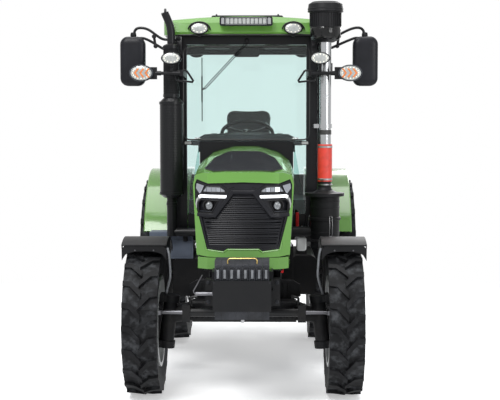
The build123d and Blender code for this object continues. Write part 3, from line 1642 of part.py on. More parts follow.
with BuildPart() as lower_links:
    for side in (1, -1):
        add(bar_part(
            side, 330, 25, (link_pivot, rod_foot, link_ball), (42, 26, 36),
            (link_pin + seat_gap, 0, ball_bore), 44,
        ))
        add(pin_part(side, 298, 40, rod_foot, hitch_pin))
        # ball collar at the link's end
        with BuildSketch(Plane.YZ.offset(side * 320)):
            with Locations(link_ball):
                Circle(30)
                Circle(ball_bore, mode=Mode.SUBTRACT)
        extrude(amount=side * 45)
finish(lower_links.part, "lower_links")

with BuildPart() as top_link:
    add(bar_part(1, -20, 40, (top_pivot, top_eye), (28, 28), (top_pin + seat_gap, top_bore), 34))
finish(top_link.part, "top_link")
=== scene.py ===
"""Farm tractor with a cab: finishes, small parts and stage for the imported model."""

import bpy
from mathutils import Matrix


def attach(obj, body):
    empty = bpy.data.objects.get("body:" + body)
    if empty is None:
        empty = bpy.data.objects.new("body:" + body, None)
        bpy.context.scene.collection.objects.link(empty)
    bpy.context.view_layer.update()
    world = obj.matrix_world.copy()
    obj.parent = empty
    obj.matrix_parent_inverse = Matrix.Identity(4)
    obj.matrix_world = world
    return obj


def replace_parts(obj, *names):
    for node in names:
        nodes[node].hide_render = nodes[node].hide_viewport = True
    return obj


bl_info = {
    "name": "Farm Tractor Dressing",
    "version": (1, 0, 0),
    "blender": (4, 5, 0),
    "location": "View3D > Sidebar > Tractor",
    "description": "Finishes, small parts and a stage for the farm tractor",
    "category": "Object",
}

from math import ceil, cos, pi, radians, sin, sqrt

import bmesh
import bpy
from bpy.props import FloatProperty, FloatVectorProperty, PointerProperty
from mathutils import Matrix, Vector
from mathutils.bvhtree import BVHTree

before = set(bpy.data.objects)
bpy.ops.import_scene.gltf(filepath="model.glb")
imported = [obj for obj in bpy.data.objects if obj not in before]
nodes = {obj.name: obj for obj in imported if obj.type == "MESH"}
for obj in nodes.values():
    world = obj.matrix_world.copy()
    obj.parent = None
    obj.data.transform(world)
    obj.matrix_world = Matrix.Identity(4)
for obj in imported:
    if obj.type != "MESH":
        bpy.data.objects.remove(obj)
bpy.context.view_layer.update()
SIDES = (("left", 1), ("right", -1))
FINISHES = {}

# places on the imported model, in metres
FRONT_HUB = (-1.1, 0.525)           # y, z
REAR_HUB = (1.05, 0.72)             # y, z
FRONT_RIM, REAR_RIM = 0.305, 0.381  # radii
EXHAUST = (-0.57, -0.45)            # x, y of the upright axis
INTAKE = (0.6, -0.505)              # x, y of the upright axis
MIRRORS = ((1, 0.915), (-1, 0.875))  # side, distance out
TURN_LAMP_Z = 2.31
SCREEN_Y = -0.246


# ---------------------------------------------------------------- shader arithmetic
def operation(name, swapped=False):
    """Method that feeds a number, and another if given, to a math node."""
    def method(self, other=None):
        return self.web.math(name, *((other, self) if swapped else (self, other)))
    return method


class Num:
    """A float socket that takes part in ordinary arithmetic."""

    def __init__(self, web, socket):
        self.web = web
        self.socket = socket

    __add__ = __radd__ = operation("ADD")
    __mul__ = __rmul__ = operation("MULTIPLY")
    __sub__ = operation("SUBTRACT")
    __rsub__ = operation("SUBTRACT", True)
    __truediv__ = operation("DIVIDE")
    __gt__ = operation("GREATER_THAN")
    sine = operation("SINE")
    root = operation("SQRT")
    part = operation("FRACT")
    angle = operation("ARCTAN2")

    def between(self, low, high):
        """0 below low, 1 above high, smooth in between."""
        node = self.web.node(
            "ShaderNodeMapRange", {"interpolation_type": "SMOOTHSTEP"},
            {"Value": self, "From Min": low, "From Max": high},
        )
        return Num(self.web, node.outputs["Result"])


class Web:
    """Node tree of one material."""

    def __init__(self, name):
        material = FINISHES[name] = bpy.data.materials.new(f"{name}_finish")
        material.use_nodes = True
        self.tree = material.node_tree
        self.tree.nodes.clear()
        self.place = self.node("ShaderNodeTexCoord").outputs["Object"]
        self.output = self.node("ShaderNodeOutputMaterial")

    def node(self, kind, settings=None, inputs=None):
        made = self.tree.nodes.new(kind)
        for key, value in (settings or {}).items():
            setattr(made, key, value)
        for key, value in (inputs or {}).items():
            self.feed(made.inputs[key], value)
        return made

    def feed(self, socket, value):
        if isinstance(value, Num):
            value = value.socket
        if isinstance(value, bpy.types.NodeSocket):
            self.tree.links.new(value, socket)
        elif hasattr(socket.default_value, "__len__") and len(value) < len(socket.default_value):
            socket.default_value = (*value, 1.0)
        else:
            socket.default_value = value

    def math(self, operation, first, second=None):
        made = self.node("ShaderNodeMath", {"operation": operation}, {0: first})
        if second is not None:
            self.feed(made.inputs[1], second)
        return Num(self, made.outputs[0])

    def axes(self):
        made = self.node("ShaderNodeSeparateXYZ", None, {"Vector": self.place})
        return [Num(self, socket) for socket in made.outputs]

    def facing(self):
        """Components of the surface's normal."""
        shape = self.node("ShaderNodeNewGeometry")
        made = self.node("ShaderNodeSeparateXYZ", None, {"Vector": shape.outputs["Normal"]})
        return [Num(self, socket) for socket in made.outputs]

    def stretch(self, scale):
        made = self.node(
            "ShaderNodeVectorMath", {"operation": "MULTIPLY"}, {0: self.place, 1: scale},
        )
        return made.outputs["Vector"]

    def noise(self, scale, detail, rough=0.55, vector=None):
        made = self.node("ShaderNodeTexNoise", None, {
            "Vector": vector or self.place, "Scale": scale, "Detail": detail, "Roughness": rough,
        })
        return Num(self, made.outputs[0])

    def cells(self, scale, feature="F1"):
        made = self.node("ShaderNodeTexVoronoi", {"feature": feature}, {
            "Vector": self.place, "Scale": scale,
        })
        return Num(self, made.outputs["Distance"])

    def mix(self, share, first, second):
        made = self.node("ShaderNodeMix", {"data_type": "RGBA"}, {0: share})
        self.feed(made.inputs[6], first)
        self.feed(made.inputs[7], second)
        return made.outputs[2]

    def bump(self, height, strength, distance, under=None):
        made = self.node("ShaderNodeBump", None, {
            "Height": height, "Strength": strength, "Distance": distance,
        })
        if under:
            self.feed(made.inputs["Normal"], under)
        return made.outputs["Normal"]

    def surface(self, **inputs):
        """Principled surface; a name with underscores is the socket's name with spaces."""
        inputs = {key.replace("_", " "): value for key, value in inputs.items()}
        made = self.node("ShaderNodeBsdfPrincipled", None, inputs)
        self.feed(self.output.inputs["Surface"], made.outputs[0])


DUST = (0.22, 0.19, 0.15)
# near-black painted shade for holes that are not cut: it stands for the shade seen through them
HOLE_SHADE = (0.003, 0.003, 0.003)


def shade(colour, by):
    return [c * by for c in colour]


def dusty(web, colour, amount):
    """Colour with a little dust low down and on upward faces."""
    cloud = web.noise(7.0, 5.0, 0.65)
    height = 1.0 - web.axes()[2].between(0.2, 1.1)
    upward = web.facing()[2].between(0.3, 0.95)
    share = (height * 0.7 + upward * 0.35) * cloud.between(0.35, 0.75) * amount
    return web.mix(share, colour, DUST), share


def paint(name, colour, rough=0.24, coat=0.6, dust=0.25, gloss=0.25):
    """Sprayed enamel with a faint ripple under a clear coat."""
    web = Web(name)
    patch = web.noise(2.2, 2.0).between(0.3, 0.7)
    tone, share = dusty(web, web.mix(patch, shade(colour, 0.94), colour), dust)
    web.surface(
        Base_Color=tone, Roughness=web.noise(14.0, 4.0) * 0.08 + rough - 0.04 + share * 0.4,
        Specular_IOR_Level=gloss, Coat_Weight=(1.0 - share) * coat, Coat_Roughness=0.08,
        Normal=web.bump(web.noise(240.0, 2.0), 0.02, 0.0006),
    )


def casting(name, colour, rough=0.55, dust=0.6):
    """Painted cast iron: pebbled skin, dust in the lows."""
    web = Web(name)
    skin = web.noise(160.0, 4.0, 0.6)
    broad = web.noise(11.0, 4.0)
    tone, share = dusty(web, web.mix(broad.between(0.35, 0.7), colour, shade(colour, 1.7)), dust)
    web.surface(
        Base_Color=tone, Roughness=skin * 0.2 + rough + share * 0.3 - 0.1,
        Specular_IOR_Level=0.14, Normal=web.bump(skin, 0.2, 0.0012, web.bump(broad, 0.1, 0.004)),
    )


def plastic(name, colour, rough=0.45, grain=520.0, depth=0.1, dust=0.3):
    """Moulded plastic with a leathery grain."""
    web = Web(name)
    broad = web.noise(5.0, 3.0)
    tone, share = dusty(web, web.mix(broad.between(0.3, 0.7), colour, shade(colour, 1.35)), dust)
    web.surface(
        Base_Color=tone, Roughness=broad * 0.16 + rough - 0.06 + share * 0.35,
        Specular_IOR_Level=0.16,
        Normal=web.bump(web.cells(grain), depth, 0.0005),
    )


def metal(name, colour, rough, brushed=(1.0, 1.0, 1.0), streak=0.12, stain=0.15):
    """Bare metal, drawn along one axis."""
    web = Web(name)
    lines = web.noise(90.0, 4.0, 0.7, web.stretch(brushed))
    stains = web.noise(9.0, 5.0, 0.6).between(0.5, 0.85)
    web.surface(
        Base_Color=web.mix(stains * stain, colour, shade(colour, 0.35)),
        Metallic=1.0 - stains * stain * 0.6, Roughness=lines * streak + rough + stains * stain,
        Normal=web.bump(lines, 0.05, 0.0003),
    )


def rubber(name, centre, radius, rim):
    """Tyre rubber: moulded rings on the side wall, lighter bluish patches on the bars' tops and in
    the lows that are dry dust and painted highlight.
    """
    web = Web(name)
    y, z = (axis - middle for axis, middle in zip(web.axes()[1:], centre))
    away = (y * y + z * z).root()

    def outside(start, width):
        return away.between(start, start + width)

    wall = 1.0 - outside(radius - 0.075, 0.02)
    rings = (away * 420.0).sine().between(0.55, 0.95)
    zone = outside(rim + 0.02, 0.01) * (1.0 - outside(rim + 0.055, 0.01))
    ticks = (z.angle(y) * 90.0).sine().between(0.2, 0.5) * outside(radius - 0.115, 0.005)
    ticks = ticks * (1.0 - outside(radius - 0.085, 0.005))
    fine = web.noise(420.0, 3.0, 0.6)
    broad = web.noise(16.0, 5.0, 0.65)
    # lighter bluish grey in patches, full below the bars' tops: dry dust, and painted highlight for
    # the rubber's sheen
    dust_and_sheen = broad.between(0.42, 0.72) * (0.25 + (1.0 - outside(radius - 0.032, 0.02)) * 0.75)
    web.surface(
        Base_Color=web.mix(dust_and_sheen, (0.0060, 0.0061, 0.0068), (0.050, 0.052, 0.056)),
        Roughness=fine * 0.12 + 0.52 + dust_and_sheen * 0.2, Specular_IOR_Level=0.1,
        Normal=web.bump(rings * zone * wall + ticks * wall, 0.5, 0.002,
                        web.bump(fine, 0.25, 0.0006)),
    )


def pane(name, colour, rough=0.0):
    """Clear glass that takes its tint from what passes through both its faces."""
    web = Web(name)
    smear = web.noise(3.0, 5.0, 0.6).between(0.45, 0.8)
    web.surface(
        Base_Color=web.mix(smear, colour, shade(colour, 0.99)), Roughness=smear * 0.01 + rough,
        Transmission_Weight=1.0, IOR=1.35, Specular_IOR_Level=0.35,
    )


def lens(name, colour, glow, ribs):
    """Clear or coloured lamp lens over a bright reflector."""
    web = Web(name)
    x, _, z = web.axes()
    facets = (x * ribs).sine() * 0.5 + (z * ribs).sine() * 0.5
    glint = web.noise(60.0, 2.0)
    web.surface(
        Base_Color=web.mix(glint.between(0.3, 0.7), colour, shade(colour, 0.8)),
        Roughness=glint * 0.1 + 0.05, Metallic=0.15, Coat_Weight=1.0, Coat_Roughness=0.03,
        Normal=web.bump(facets, 0.3, 0.001), Emission_Color=(*colour, 1.0), Emission_Strength=glow,
    )


def weave(name, colour):
    """Coarse seat cloth."""
    web = Web(name)
    x, y, z = web.axes()
    knot = ((x * 2600.0).sine() * 0.5 + 0.5) * (((y + z) * 2600.0).sine() * 0.5 + 0.5)
    fuzz = web.noise(300.0, 3.0)
    web.surface(
        Base_Color=web.mix(knot * 0.6 + fuzz * 0.4, shade(colour, 0.6), shade(colour, 1.6)),
        Roughness=fuzz * 0.1 + 0.82, Sheen_Weight=0.4, Sheen_Roughness=0.5,
        Normal=web.bump(knot, 0.4, 0.0008),
    )


def silicone(name, colour):
    """Smooth reinforced hose with fine plies."""
    web = Web(name)
    ply = (web.axes()[2] * 1400.0).sine()
    cloud = web.noise(20.0, 4.0)
    web.surface(
        Base_Color=web.mix(cloud.between(0.4, 0.75), colour, shade(colour, 0.75)),
        Roughness=cloud * 0.2 + 0.3, Coat_Weight=cloud * 0.3, Normal=web.bump(ply, 0.12, 0.0006),
    )


def pierced(web, colour, hole, rough, gloss, depth, drop):
    """Sheet that is dark and sunk where hole is 1; the dark is painted shade standing for what is
    seen through an uncut hole.
    """
    web.surface(
        Base_Color=web.mix(hole, colour, HOLE_SHADE), Roughness=rough, Specular_IOR_Level=gloss,
        Normal=web.bump(1.0 - hole, depth, drop),
    )


def punched(name, colour, pitch, centre, radius):
    """Sheet shroud with rows of small holes in painted shade, on an upright round case."""
    web = Web(name)
    x, y, z = web.axes()
    turn = (x - centre[0]).angle(y - centre[1])
    row = (z / pitch).part() - 0.5
    shift = ((z / pitch / 2.0).part() > 0.5) * 0.5
    column = (turn * radius / pitch + shift).part() - 0.5
    hole = 1.0 - (row * row + column * column).root().between(0.22, 0.3)
    pierced(web, colour, hole, web.noise(12.0, 4.0) * 0.2 + 0.42, 0.12, 0.7, 0.002)


def mesh_panel(name, colour):
    """Hexagonal wire mesh seen from afar; its openings are painted shade."""
    web = Web(name)
    hole = web.cells(150.0, "DISTANCE_TO_EDGE").between(0.10, 0.16)
    pierced(web, colour, hole, web.noise(8.0, 3.0) * 0.2 + 0.6, 0.06, 0.5, 0.0015)


# ---------------------------------------------------------------- mesh building
FORWARDS = (0, -1, 0)


def place_at(origin, right, up):
    """Matrix whose local x, y and z run along right, up and their cross product."""
    right = Vector(right).normalized()
    out = right.cross(Vector(up)).normalized()
    up = out.cross(right)
    made = Matrix((right, up, out)).transposed().to_4x4()
    made.translation = Vector(origin)
    return made


def facing_front(x, y, z):
    """Local x to the machine's left, y up, z forwards."""
    return place_at((x, y, z), (1, 0, 0), (0, 0, 1))


def facing_back(x, y, z):
    """Local x to the machine's right, y up, z backwards."""
    return place_at((x, y, z), (-1, 0, 0), (0, 0, 1))


def upright(x, y, z=0.0):
    return Matrix.Translation((x, y, z))


def facing(origin, normal):
    """Local z along normal, y as near upright as that allows."""
    normal = Vector(normal).normalized()
    up = Vector((0, 0, 1)) if abs(normal.z) < 0.95 else Vector((0, 1, 0))
    return place_at(origin, up.cross(normal), up)


def ellipse(half_x, half_y, steps):
    turns = [2 * pi * k / steps for k in range(steps)]
    return [(half_x * cos(t), half_y * sin(t)) for t in turns]


def oblong(left, low, right, high):
    return [(left, low), (right, low), (right, high), (left, high)]


def rounded(width, height, radius, steps=6, centre=(0, 0)):
    points = []
    for k, (sx, sy) in enumerate(((1, 1), (-1, 1), (-1, -1), (1, -1))):
        for s in range(steps + 1):
            turn = pi / 2 * (k + s / steps)
            points.append((
                centre[0] + sx * (width / 2 - radius) + radius * cos(turn),
                centre[1] + sy * (height / 2 - radius) + radius * sin(turn),
            ))
    return points


def inset(outline, amount):
    """Outline moved inwards by amount (anticlockwise outlines)."""
    count = len(outline)
    made = []
    for k in range(count):
        before, here, after = (Vector(outline[(k + d) % count]) for d in (-1, 0, 1))
        first = (here - before).normalized()
        second = (after - here).normalized()
        normal = Vector((-first.y - second.y, first.x + second.x))
        if normal.length < 1e-6:
            normal = Vector((-first.y, first.x))
        normal.normalize()
        stretch = max(0.35, normal.dot(Vector((-first.y, first.x))))
        made.append(tuple(here + normal * amount / stretch))
    return made


def curve(points, steps=8):
    """Smooth line through points."""
    points = [Vector(p) for p in points]
    ends = [points[0] * 2 - points[1], *points, points[-1] * 2 - points[-2]]
    made = []
    for a, b, c, d in zip(ends, ends[1:], ends[2:], ends[3:]):
        for k in range(steps):
            t = k / steps
            made.append((
                b * 2 + (c - a) * t + (a * 2 - b * 5 + c * 4 - d) * t * t
                + (b * 3 - a - c * 3 + d) * t ** 3
            ) * 0.5)
    return made + [points[-1]]


class Piece:
    """A mesh made up in frame coordinates, which then rides on a body."""

    def __init__(self, name, material, body="chassis"):
        self.name = name
        self.material = material
        self.body = body
        self.mesh = bmesh.new()

    def rings(self, rings, closed=True, caps=True):
        """Skin over rings of equal length."""
        rows = [[self.mesh.verts.new(p) for p in ring] for ring in rings]
        count = len(rows[0])
        span = count if closed else count - 1
        for low, high in zip(rows, rows[1:]):
            for k in range(span):
                self.mesh.faces.new((low[k], low[(k + 1) % count], high[(k + 1) % count], high[k]))
        if caps and closed:
            self.mesh.faces.new(list(reversed(rows[0])))
            self.mesh.faces.new(rows[-1])

    def prism(self, outline, place, depth, start=0.0, lip=0.0):
        """Outline pushed along the place's z; a lip bevels its far edge."""
        levels = [(0.0, start), (0.0, start + depth - lip)]
        if lip:
            levels.append((lip, start + depth))
        return self.stack(outline, place, levels)

    def stack(self, outline, place, levels):
        """Outline drawn in by some amount at each level; levels are (inwards, z)."""
        self.rings([
            [place @ Vector((*p, z)) for p in (inset(outline, inwards) if inwards else outline)]
            for inwards, z in levels
        ])
        return self

    def dome(self, half_x, half_y, place, levels, steps=48):
        """Oval grown by some share at each level; levels are (share, z)."""
        self.rings([
            [place @ Vector((*p, z)) for p in ellipse(half_x * share, half_y * share, steps)]
            for share, z in levels
        ])
        return self

    def ring(self, outline, width, place, depth, start=0.0):
        """Band of a width inside an outline."""
        inner = inset(outline, width)
        loops = [(outline, start), (outline, start + depth), (inner, start + depth), (inner, start),
                 (outline, start)]
        self.rings([[place @ Vector((*p, z)) for p in line] for line, z in loops], caps=False)
        return self

    def lathe(self, profile, place, steps=48, closed=False):
        """Profile of (radius, z) turned about the place's z."""
        rings = []
        for radius, z in profile:
            radius = max(radius, 1e-5)
            rings.append([
                place @ Vector((radius * cos(2 * pi * k / steps), radius * sin(2 * pi * k / steps),
                                z))
                for k in range(steps)
            ])
        if closed:
            rings.append(rings[0])
        self.rings(rings, caps=not closed)
        return self

    def hoop(self, place, inner, outer, low, high, slope=0.002, steps=48):
        """Band round the place's z with sloping ends."""
        return self.lathe(
            ((inner, low), (outer, low + slope), (outer, high - slope), (inner, high)), place,
            steps,
        )

    def tube(self, points, radius, sides=12, closed=False):
        """Round bar along points."""
        points = [Vector(p) for p in points]
        count = len(points)
        rings = []
        normal = None
        for k, here in enumerate(points):
            if closed:
                along = points[(k + 1) % count] - points[k - 1]
            else:
                along = points[min(k + 1, count - 1)] - points[max(k - 1, 0)]
            along.normalize()
            if normal is None:
                normal = along.orthogonal().normalized()
            normal = (normal - along * normal.dot(along)).normalized()
            cross = along.cross(normal)
            rings.append([
                here + (normal * cos(2 * pi * s / sides) + cross * sin(2 * pi * s / sides)) * radius
                for s in range(sides)
            ])
        if closed:
            rings.append(rings[0])
        self.rings(rings, caps=not closed)
        return self

    def bolt(self, at, normal, size):
        """Hexagon head on a washer; size is across the corners."""
        place = facing(at, normal)
        self.lathe(((size * 0.9, 0), (size * 0.9, size * 0.14), (size * 0.8, size * 0.2)), place,
                   20)
        self.lathe(((size / 2, 0), (size / 2, size * 0.62), (size * 0.42, size * 0.72)), place, 6)
        return self

    def block(self, low, high, lip=0.0):
        """Box between two corners."""
        width, depth, height = (high[k] - low[k] for k in range(3))
        place = upright((low[0] + high[0]) / 2, (low[1] + high[1]) / 2, low[2])
        outline = oblong(-width / 2, -depth / 2, width / 2, depth / 2)
        return self.prism(outline, place, height, 0.0, lip)

    def done(self, bevel=0.0, smooth=35.0):
        """Put the mesh in the scene on its body; smooth is the sharpest angle shaded smooth."""
        bmesh.ops.remove_doubles(self.mesh, verts=self.mesh.verts, dist=1e-6)
        bmesh.ops.recalc_face_normals(self.mesh, faces=self.mesh.faces)
        for face in self.mesh.faces:
            face.smooth = True
        for edge in self.mesh.edges:
            if len(edge.link_faces) == 2 and edge.calc_face_angle(0) > radians(smooth):
                edge.smooth = False
        data = bpy.data.meshes.new(self.name)
        self.mesh.to_mesh(data)
        self.mesh.free()
        made = bpy.data.objects.new(self.name, data)
        bpy.context.scene.collection.objects.link(made)
        data.materials.append(FINISHES[self.material])
        if bevel:
            mod = made.modifiers.new("edge", "BEVEL")
            mod.width = bevel
            mod.segments = 2
            mod.limit_method = "ANGLE"
            mod.angle_limit = radians(40)
            mod.harden_normals = True
        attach(made, self.body)
        return made


def done_all(pieces, **how):
    for piece in pieces:
        piece.done(**how)


# ---------------------------------------------------------------- settings
class TractorFinish(bpy.types.PropertyGroup):
    """Colours and condition of the machine's surfaces."""

    enamel: FloatVectorProperty(
        name="Enamel", description="Colour of the painted sheet metal",
        subtype="COLOR", size=3, min=0.0, max=1.0, default=(0.090, 0.222, 0.037),
    )
    black: FloatVectorProperty(
        name="Black parts", description="Colour of frames, castings and brackets",
        subtype="COLOR", size=3, min=0.0, max=1.0, default=(0.0075, 0.0078, 0.0088),
    )
    glass: FloatVectorProperty(
        name="Glass", description="Tint of the cab's panes",
        subtype="COLOR", size=3, min=0.0, max=1.0, default=(0.80, 0.915, 0.90),
    )
    dust: FloatProperty(
        name="Dust", description="Share of dry dust on low and upward faces",
        subtype="FACTOR", min=0.0, max=1.0, default=0.07,
    )


class TractorStage(bpy.types.PropertyGroup):
    """Camera, floor and light."""

    eye: FloatVectorProperty(
        name="Eye", description="Place of the camera",
        subtype="TRANSLATION", unit="LENGTH", size=3, default=(0.155, -9.4, 1.96),
    )
    dip: FloatProperty(
        name="Dip", description="How far the camera looks down",
        subtype="ANGLE", unit="ROTATION", default=radians(3.91),
    )
    turn: FloatProperty(
        name="Turn", description="How far the camera is turned to its left",
        subtype="ANGLE", unit="ROTATION", default=radians(0.8),
    )
    focal: FloatProperty(
        name="Focal length", description="Focal length for a 36 mm wide sensor",
        subtype="DISTANCE_CAMERA", unit="CAMERA", default=84.2,
    )
    key: FloatProperty(
        name="Key light", description="Power that all four lights are scaled by",
        subtype="POWER", min=0.0, default=420.0,
    )


class TractorSmallParts(bpy.types.PropertyGroup):
    """Sizes of the fasteners and fittings."""

    bolt: FloatProperty(
        name="Bolt", description="Width over the corners of a common bolt head",
        subtype="DISTANCE", unit="LENGTH", min=0.004, default=0.02,
    )
    slat: FloatProperty(
        name="Grille slat", description="Pitch of the slats in the grille",
        subtype="DISTANCE", unit="LENGTH", min=0.004, default=0.0125,
    )


# ---------------------------------------------------------------- finishes
def finish_list(look):
    """Every finish by name, made from the settings."""
    enamel, black, tint, dust = tuple(look.enamel), tuple(look.black), tuple(look.glass), look.dust
    paint("enamel", enamel, dust=dust)
    paint("black_enamel", black, 0.32, 0.08, dust, 0.14)
    paint("rim_enamel", (0.36, 0.37, 0.37), 0.3, 0.4, dust * 1.6)
    casting("casting", (0.0062, 0.0065, 0.0075), dust=dust)
    casting("pale_casting", (0.11, 0.114, 0.122), 0.5, dust * 0.5)
    casting("grey_casting", (0.016, 0.017, 0.020), dust=dust)
    plastic("black_plastic", (0.0055, 0.0056, 0.0064), dust=dust)
    plastic("satin_plastic", (0.0075, 0.0078, 0.0098), 0.34, 700.0, 0.1, dust * 0.5)
    plastic("grey_plastic", (0.026, 0.028, 0.033), dust=dust)
    plastic("box_plastic", (0.075, 0.088, 0.115), dust=dust)
    plastic("white_plastic", (0.55, 0.56, 0.55), 0.4, dust=0.05)
    plastic("red_plastic", (0.42, 0.012, 0.012), 0.35, dust=0.05)
    plastic("gloss_plastic", (0.005, 0.005, 0.0056), 0.14, 900.0, 0.02, dust * 0.4)
    # near-black cap for the tail pipe's mouth: soot, and painted shade for the pipe's inside
    plastic("soot_and_shade", (0.0015, 0.0015, 0.0015), 0.8, 400.0, 0.3, 0.0)
    metal("chrome", (0.40, 0.41, 0.42), 0.16, (1.0, 1.0, 0.06), 0.1, 0.3)
    metal("steel", (0.30, 0.30, 0.31), 0.3, (0.2, 1.0, 1.0))
    metal("dark_steel", (0.13, 0.13, 0.14), 0.3, (0.2, 1.0, 1.0))
    metal("gilt", (0.62, 0.45, 0.16), 0.28)
    metal("reflector", (0.36, 0.38, 0.42), 0.12, (1.0, 1.0, 1.0), 0.1, 0.0)
    metal("mirror_glass", (0.72, 0.75, 0.78), 0.015, (1.0, 1.0, 1.0), 0.01, 0.0)
    rubber("front_rubber", FRONT_HUB, 0.525, FRONT_RIM)
    rubber("rear_rubber", REAR_HUB, 0.72, REAR_RIM)
    pane("window", tint)
    pane("bowl", (0.50, 0.52, 0.52), 0.08)
    # darker copy of the window glass for the lower corner panes, which are the same glass: painted
    # shade for what is seen through them
    pane("corner_window_shade", [0.85 * c ** 3 for c in tint])
    lens("white_lens", (0.34, 0.35, 0.34), 0.0, 900.0)
    lens("clear_lens", (0.14, 0.15, 0.16), 0.0, 500.0)
    lens("led_cell", (0.80, 0.78, 0.66), 0.12, 900.0)
    lens("amber_lens", (0.62, 0.17, 0.03), 0.04, 700.0)
    lens("red_lens", (0.5, 0.01, 0.01), 0.04, 700.0)
    lens("lit_strip", (0.9, 0.92, 0.95), 1.1, 300.0)
    weave("cloth", (0.022, 0.022, 0.025))
    weave("trim_cloth", (0.035, 0.034, 0.035))
    silicone("red_hose", (0.55, 0.035, 0.02))
    silicone("black_hose", (0.012, 0.012, 0.012))
    punched("shroud_holes", black, 0.016, EXHAUST, 0.058)
    mesh_panel("mesh_black", (0.016, 0.017, 0.021))


CAD_FINISH = {
    "front_rubber": "front_tyre_left front_tyre_right",
    "rear_rubber": "rear_tyre_left rear_tyre_right",
    "rim_enamel": "front_rim_left front_rim_right rear_rim_left rear_rim_right",
    "casting": "front_axle knuckle_left knuckle_right front_support engine gearbox rear_axle "
               "drawbar lift_arms lift_rods lower_links top_link",
    "grey_casting": "front_weights",
    "black_enamel": "steer_cylinder weight_guard radiator cab_frame cab_body door_left door_right "
                    "exhaust steps pto_guard",
    "dark_steel": "steer_rod",
    "black_plastic": "front_fender_left front_fender_right roof_hatch steering_wheel air_cleaner "
                     "precleaner mirrors turn_lamps work_lamps fuel_tank",
    "enamel": "hood nose_band roof rear_fenders",
    "satin_plastic": "nose_mask grille",
    "clear_lens": "headlamps",
    "window": "cab_glass door_glass_left door_glass_right",
    "grey_plastic": "dashboard seat_base light_bar",
    "cloth": "seat_cushions",
    "red_hose": "intake_hose",
    "chrome": "intake_pipe",
    "box_plastic": "battery_box",
    "steel": "pto_shaft",
}


class TRACTOR_OT_finishes(bpy.types.Operator):
    """Give every carried-over solid its finish"""

    bl_idname = "tractor.finishes"
    bl_label = "Finishes"

    def execute(self, context):
        finish_list(context.scene.tractor_finish)
        chosen = {name: finish for finish, names in CAD_FINISH.items() for name in names.split()}
        missing = sorted(set(nodes) ^ set(chosen))
        if missing:
            raise RuntimeError(f"solids and finishes differ: {missing}")
        for name, node in nodes.items():
            for spot in range(len(node.data.materials)):
                node.material_slots[spot].material = FINISHES[chosen[name]]
        return {"FINISHED"}


# ---------------------------------------------------------------- stage
WHITE = (1.0, 1.0, 1.0, 1.0)


def linked(name, data):
    """Object of that data, put in the scene."""
    made = bpy.data.objects.new(name, data)
    bpy.context.scene.collection.objects.link(made)
    return made


def seen_directly(tree):
    """Socket that is 1 for camera, glossy and transmission rays."""
    path = tree.nodes.new("ShaderNodeLightPath")
    seen = path.outputs["Is Camera Ray"]
    for ray in ("Is Glossy Ray", "Is Transmission Ray"):
        either = tree.nodes.new("ShaderNodeMath")
        either.operation = "MAXIMUM"
        tree.links.new(seen, either.inputs[0])
        tree.links.new(path.outputs[ray], either.inputs[1])
        seen = either.outputs[0]
    return seen


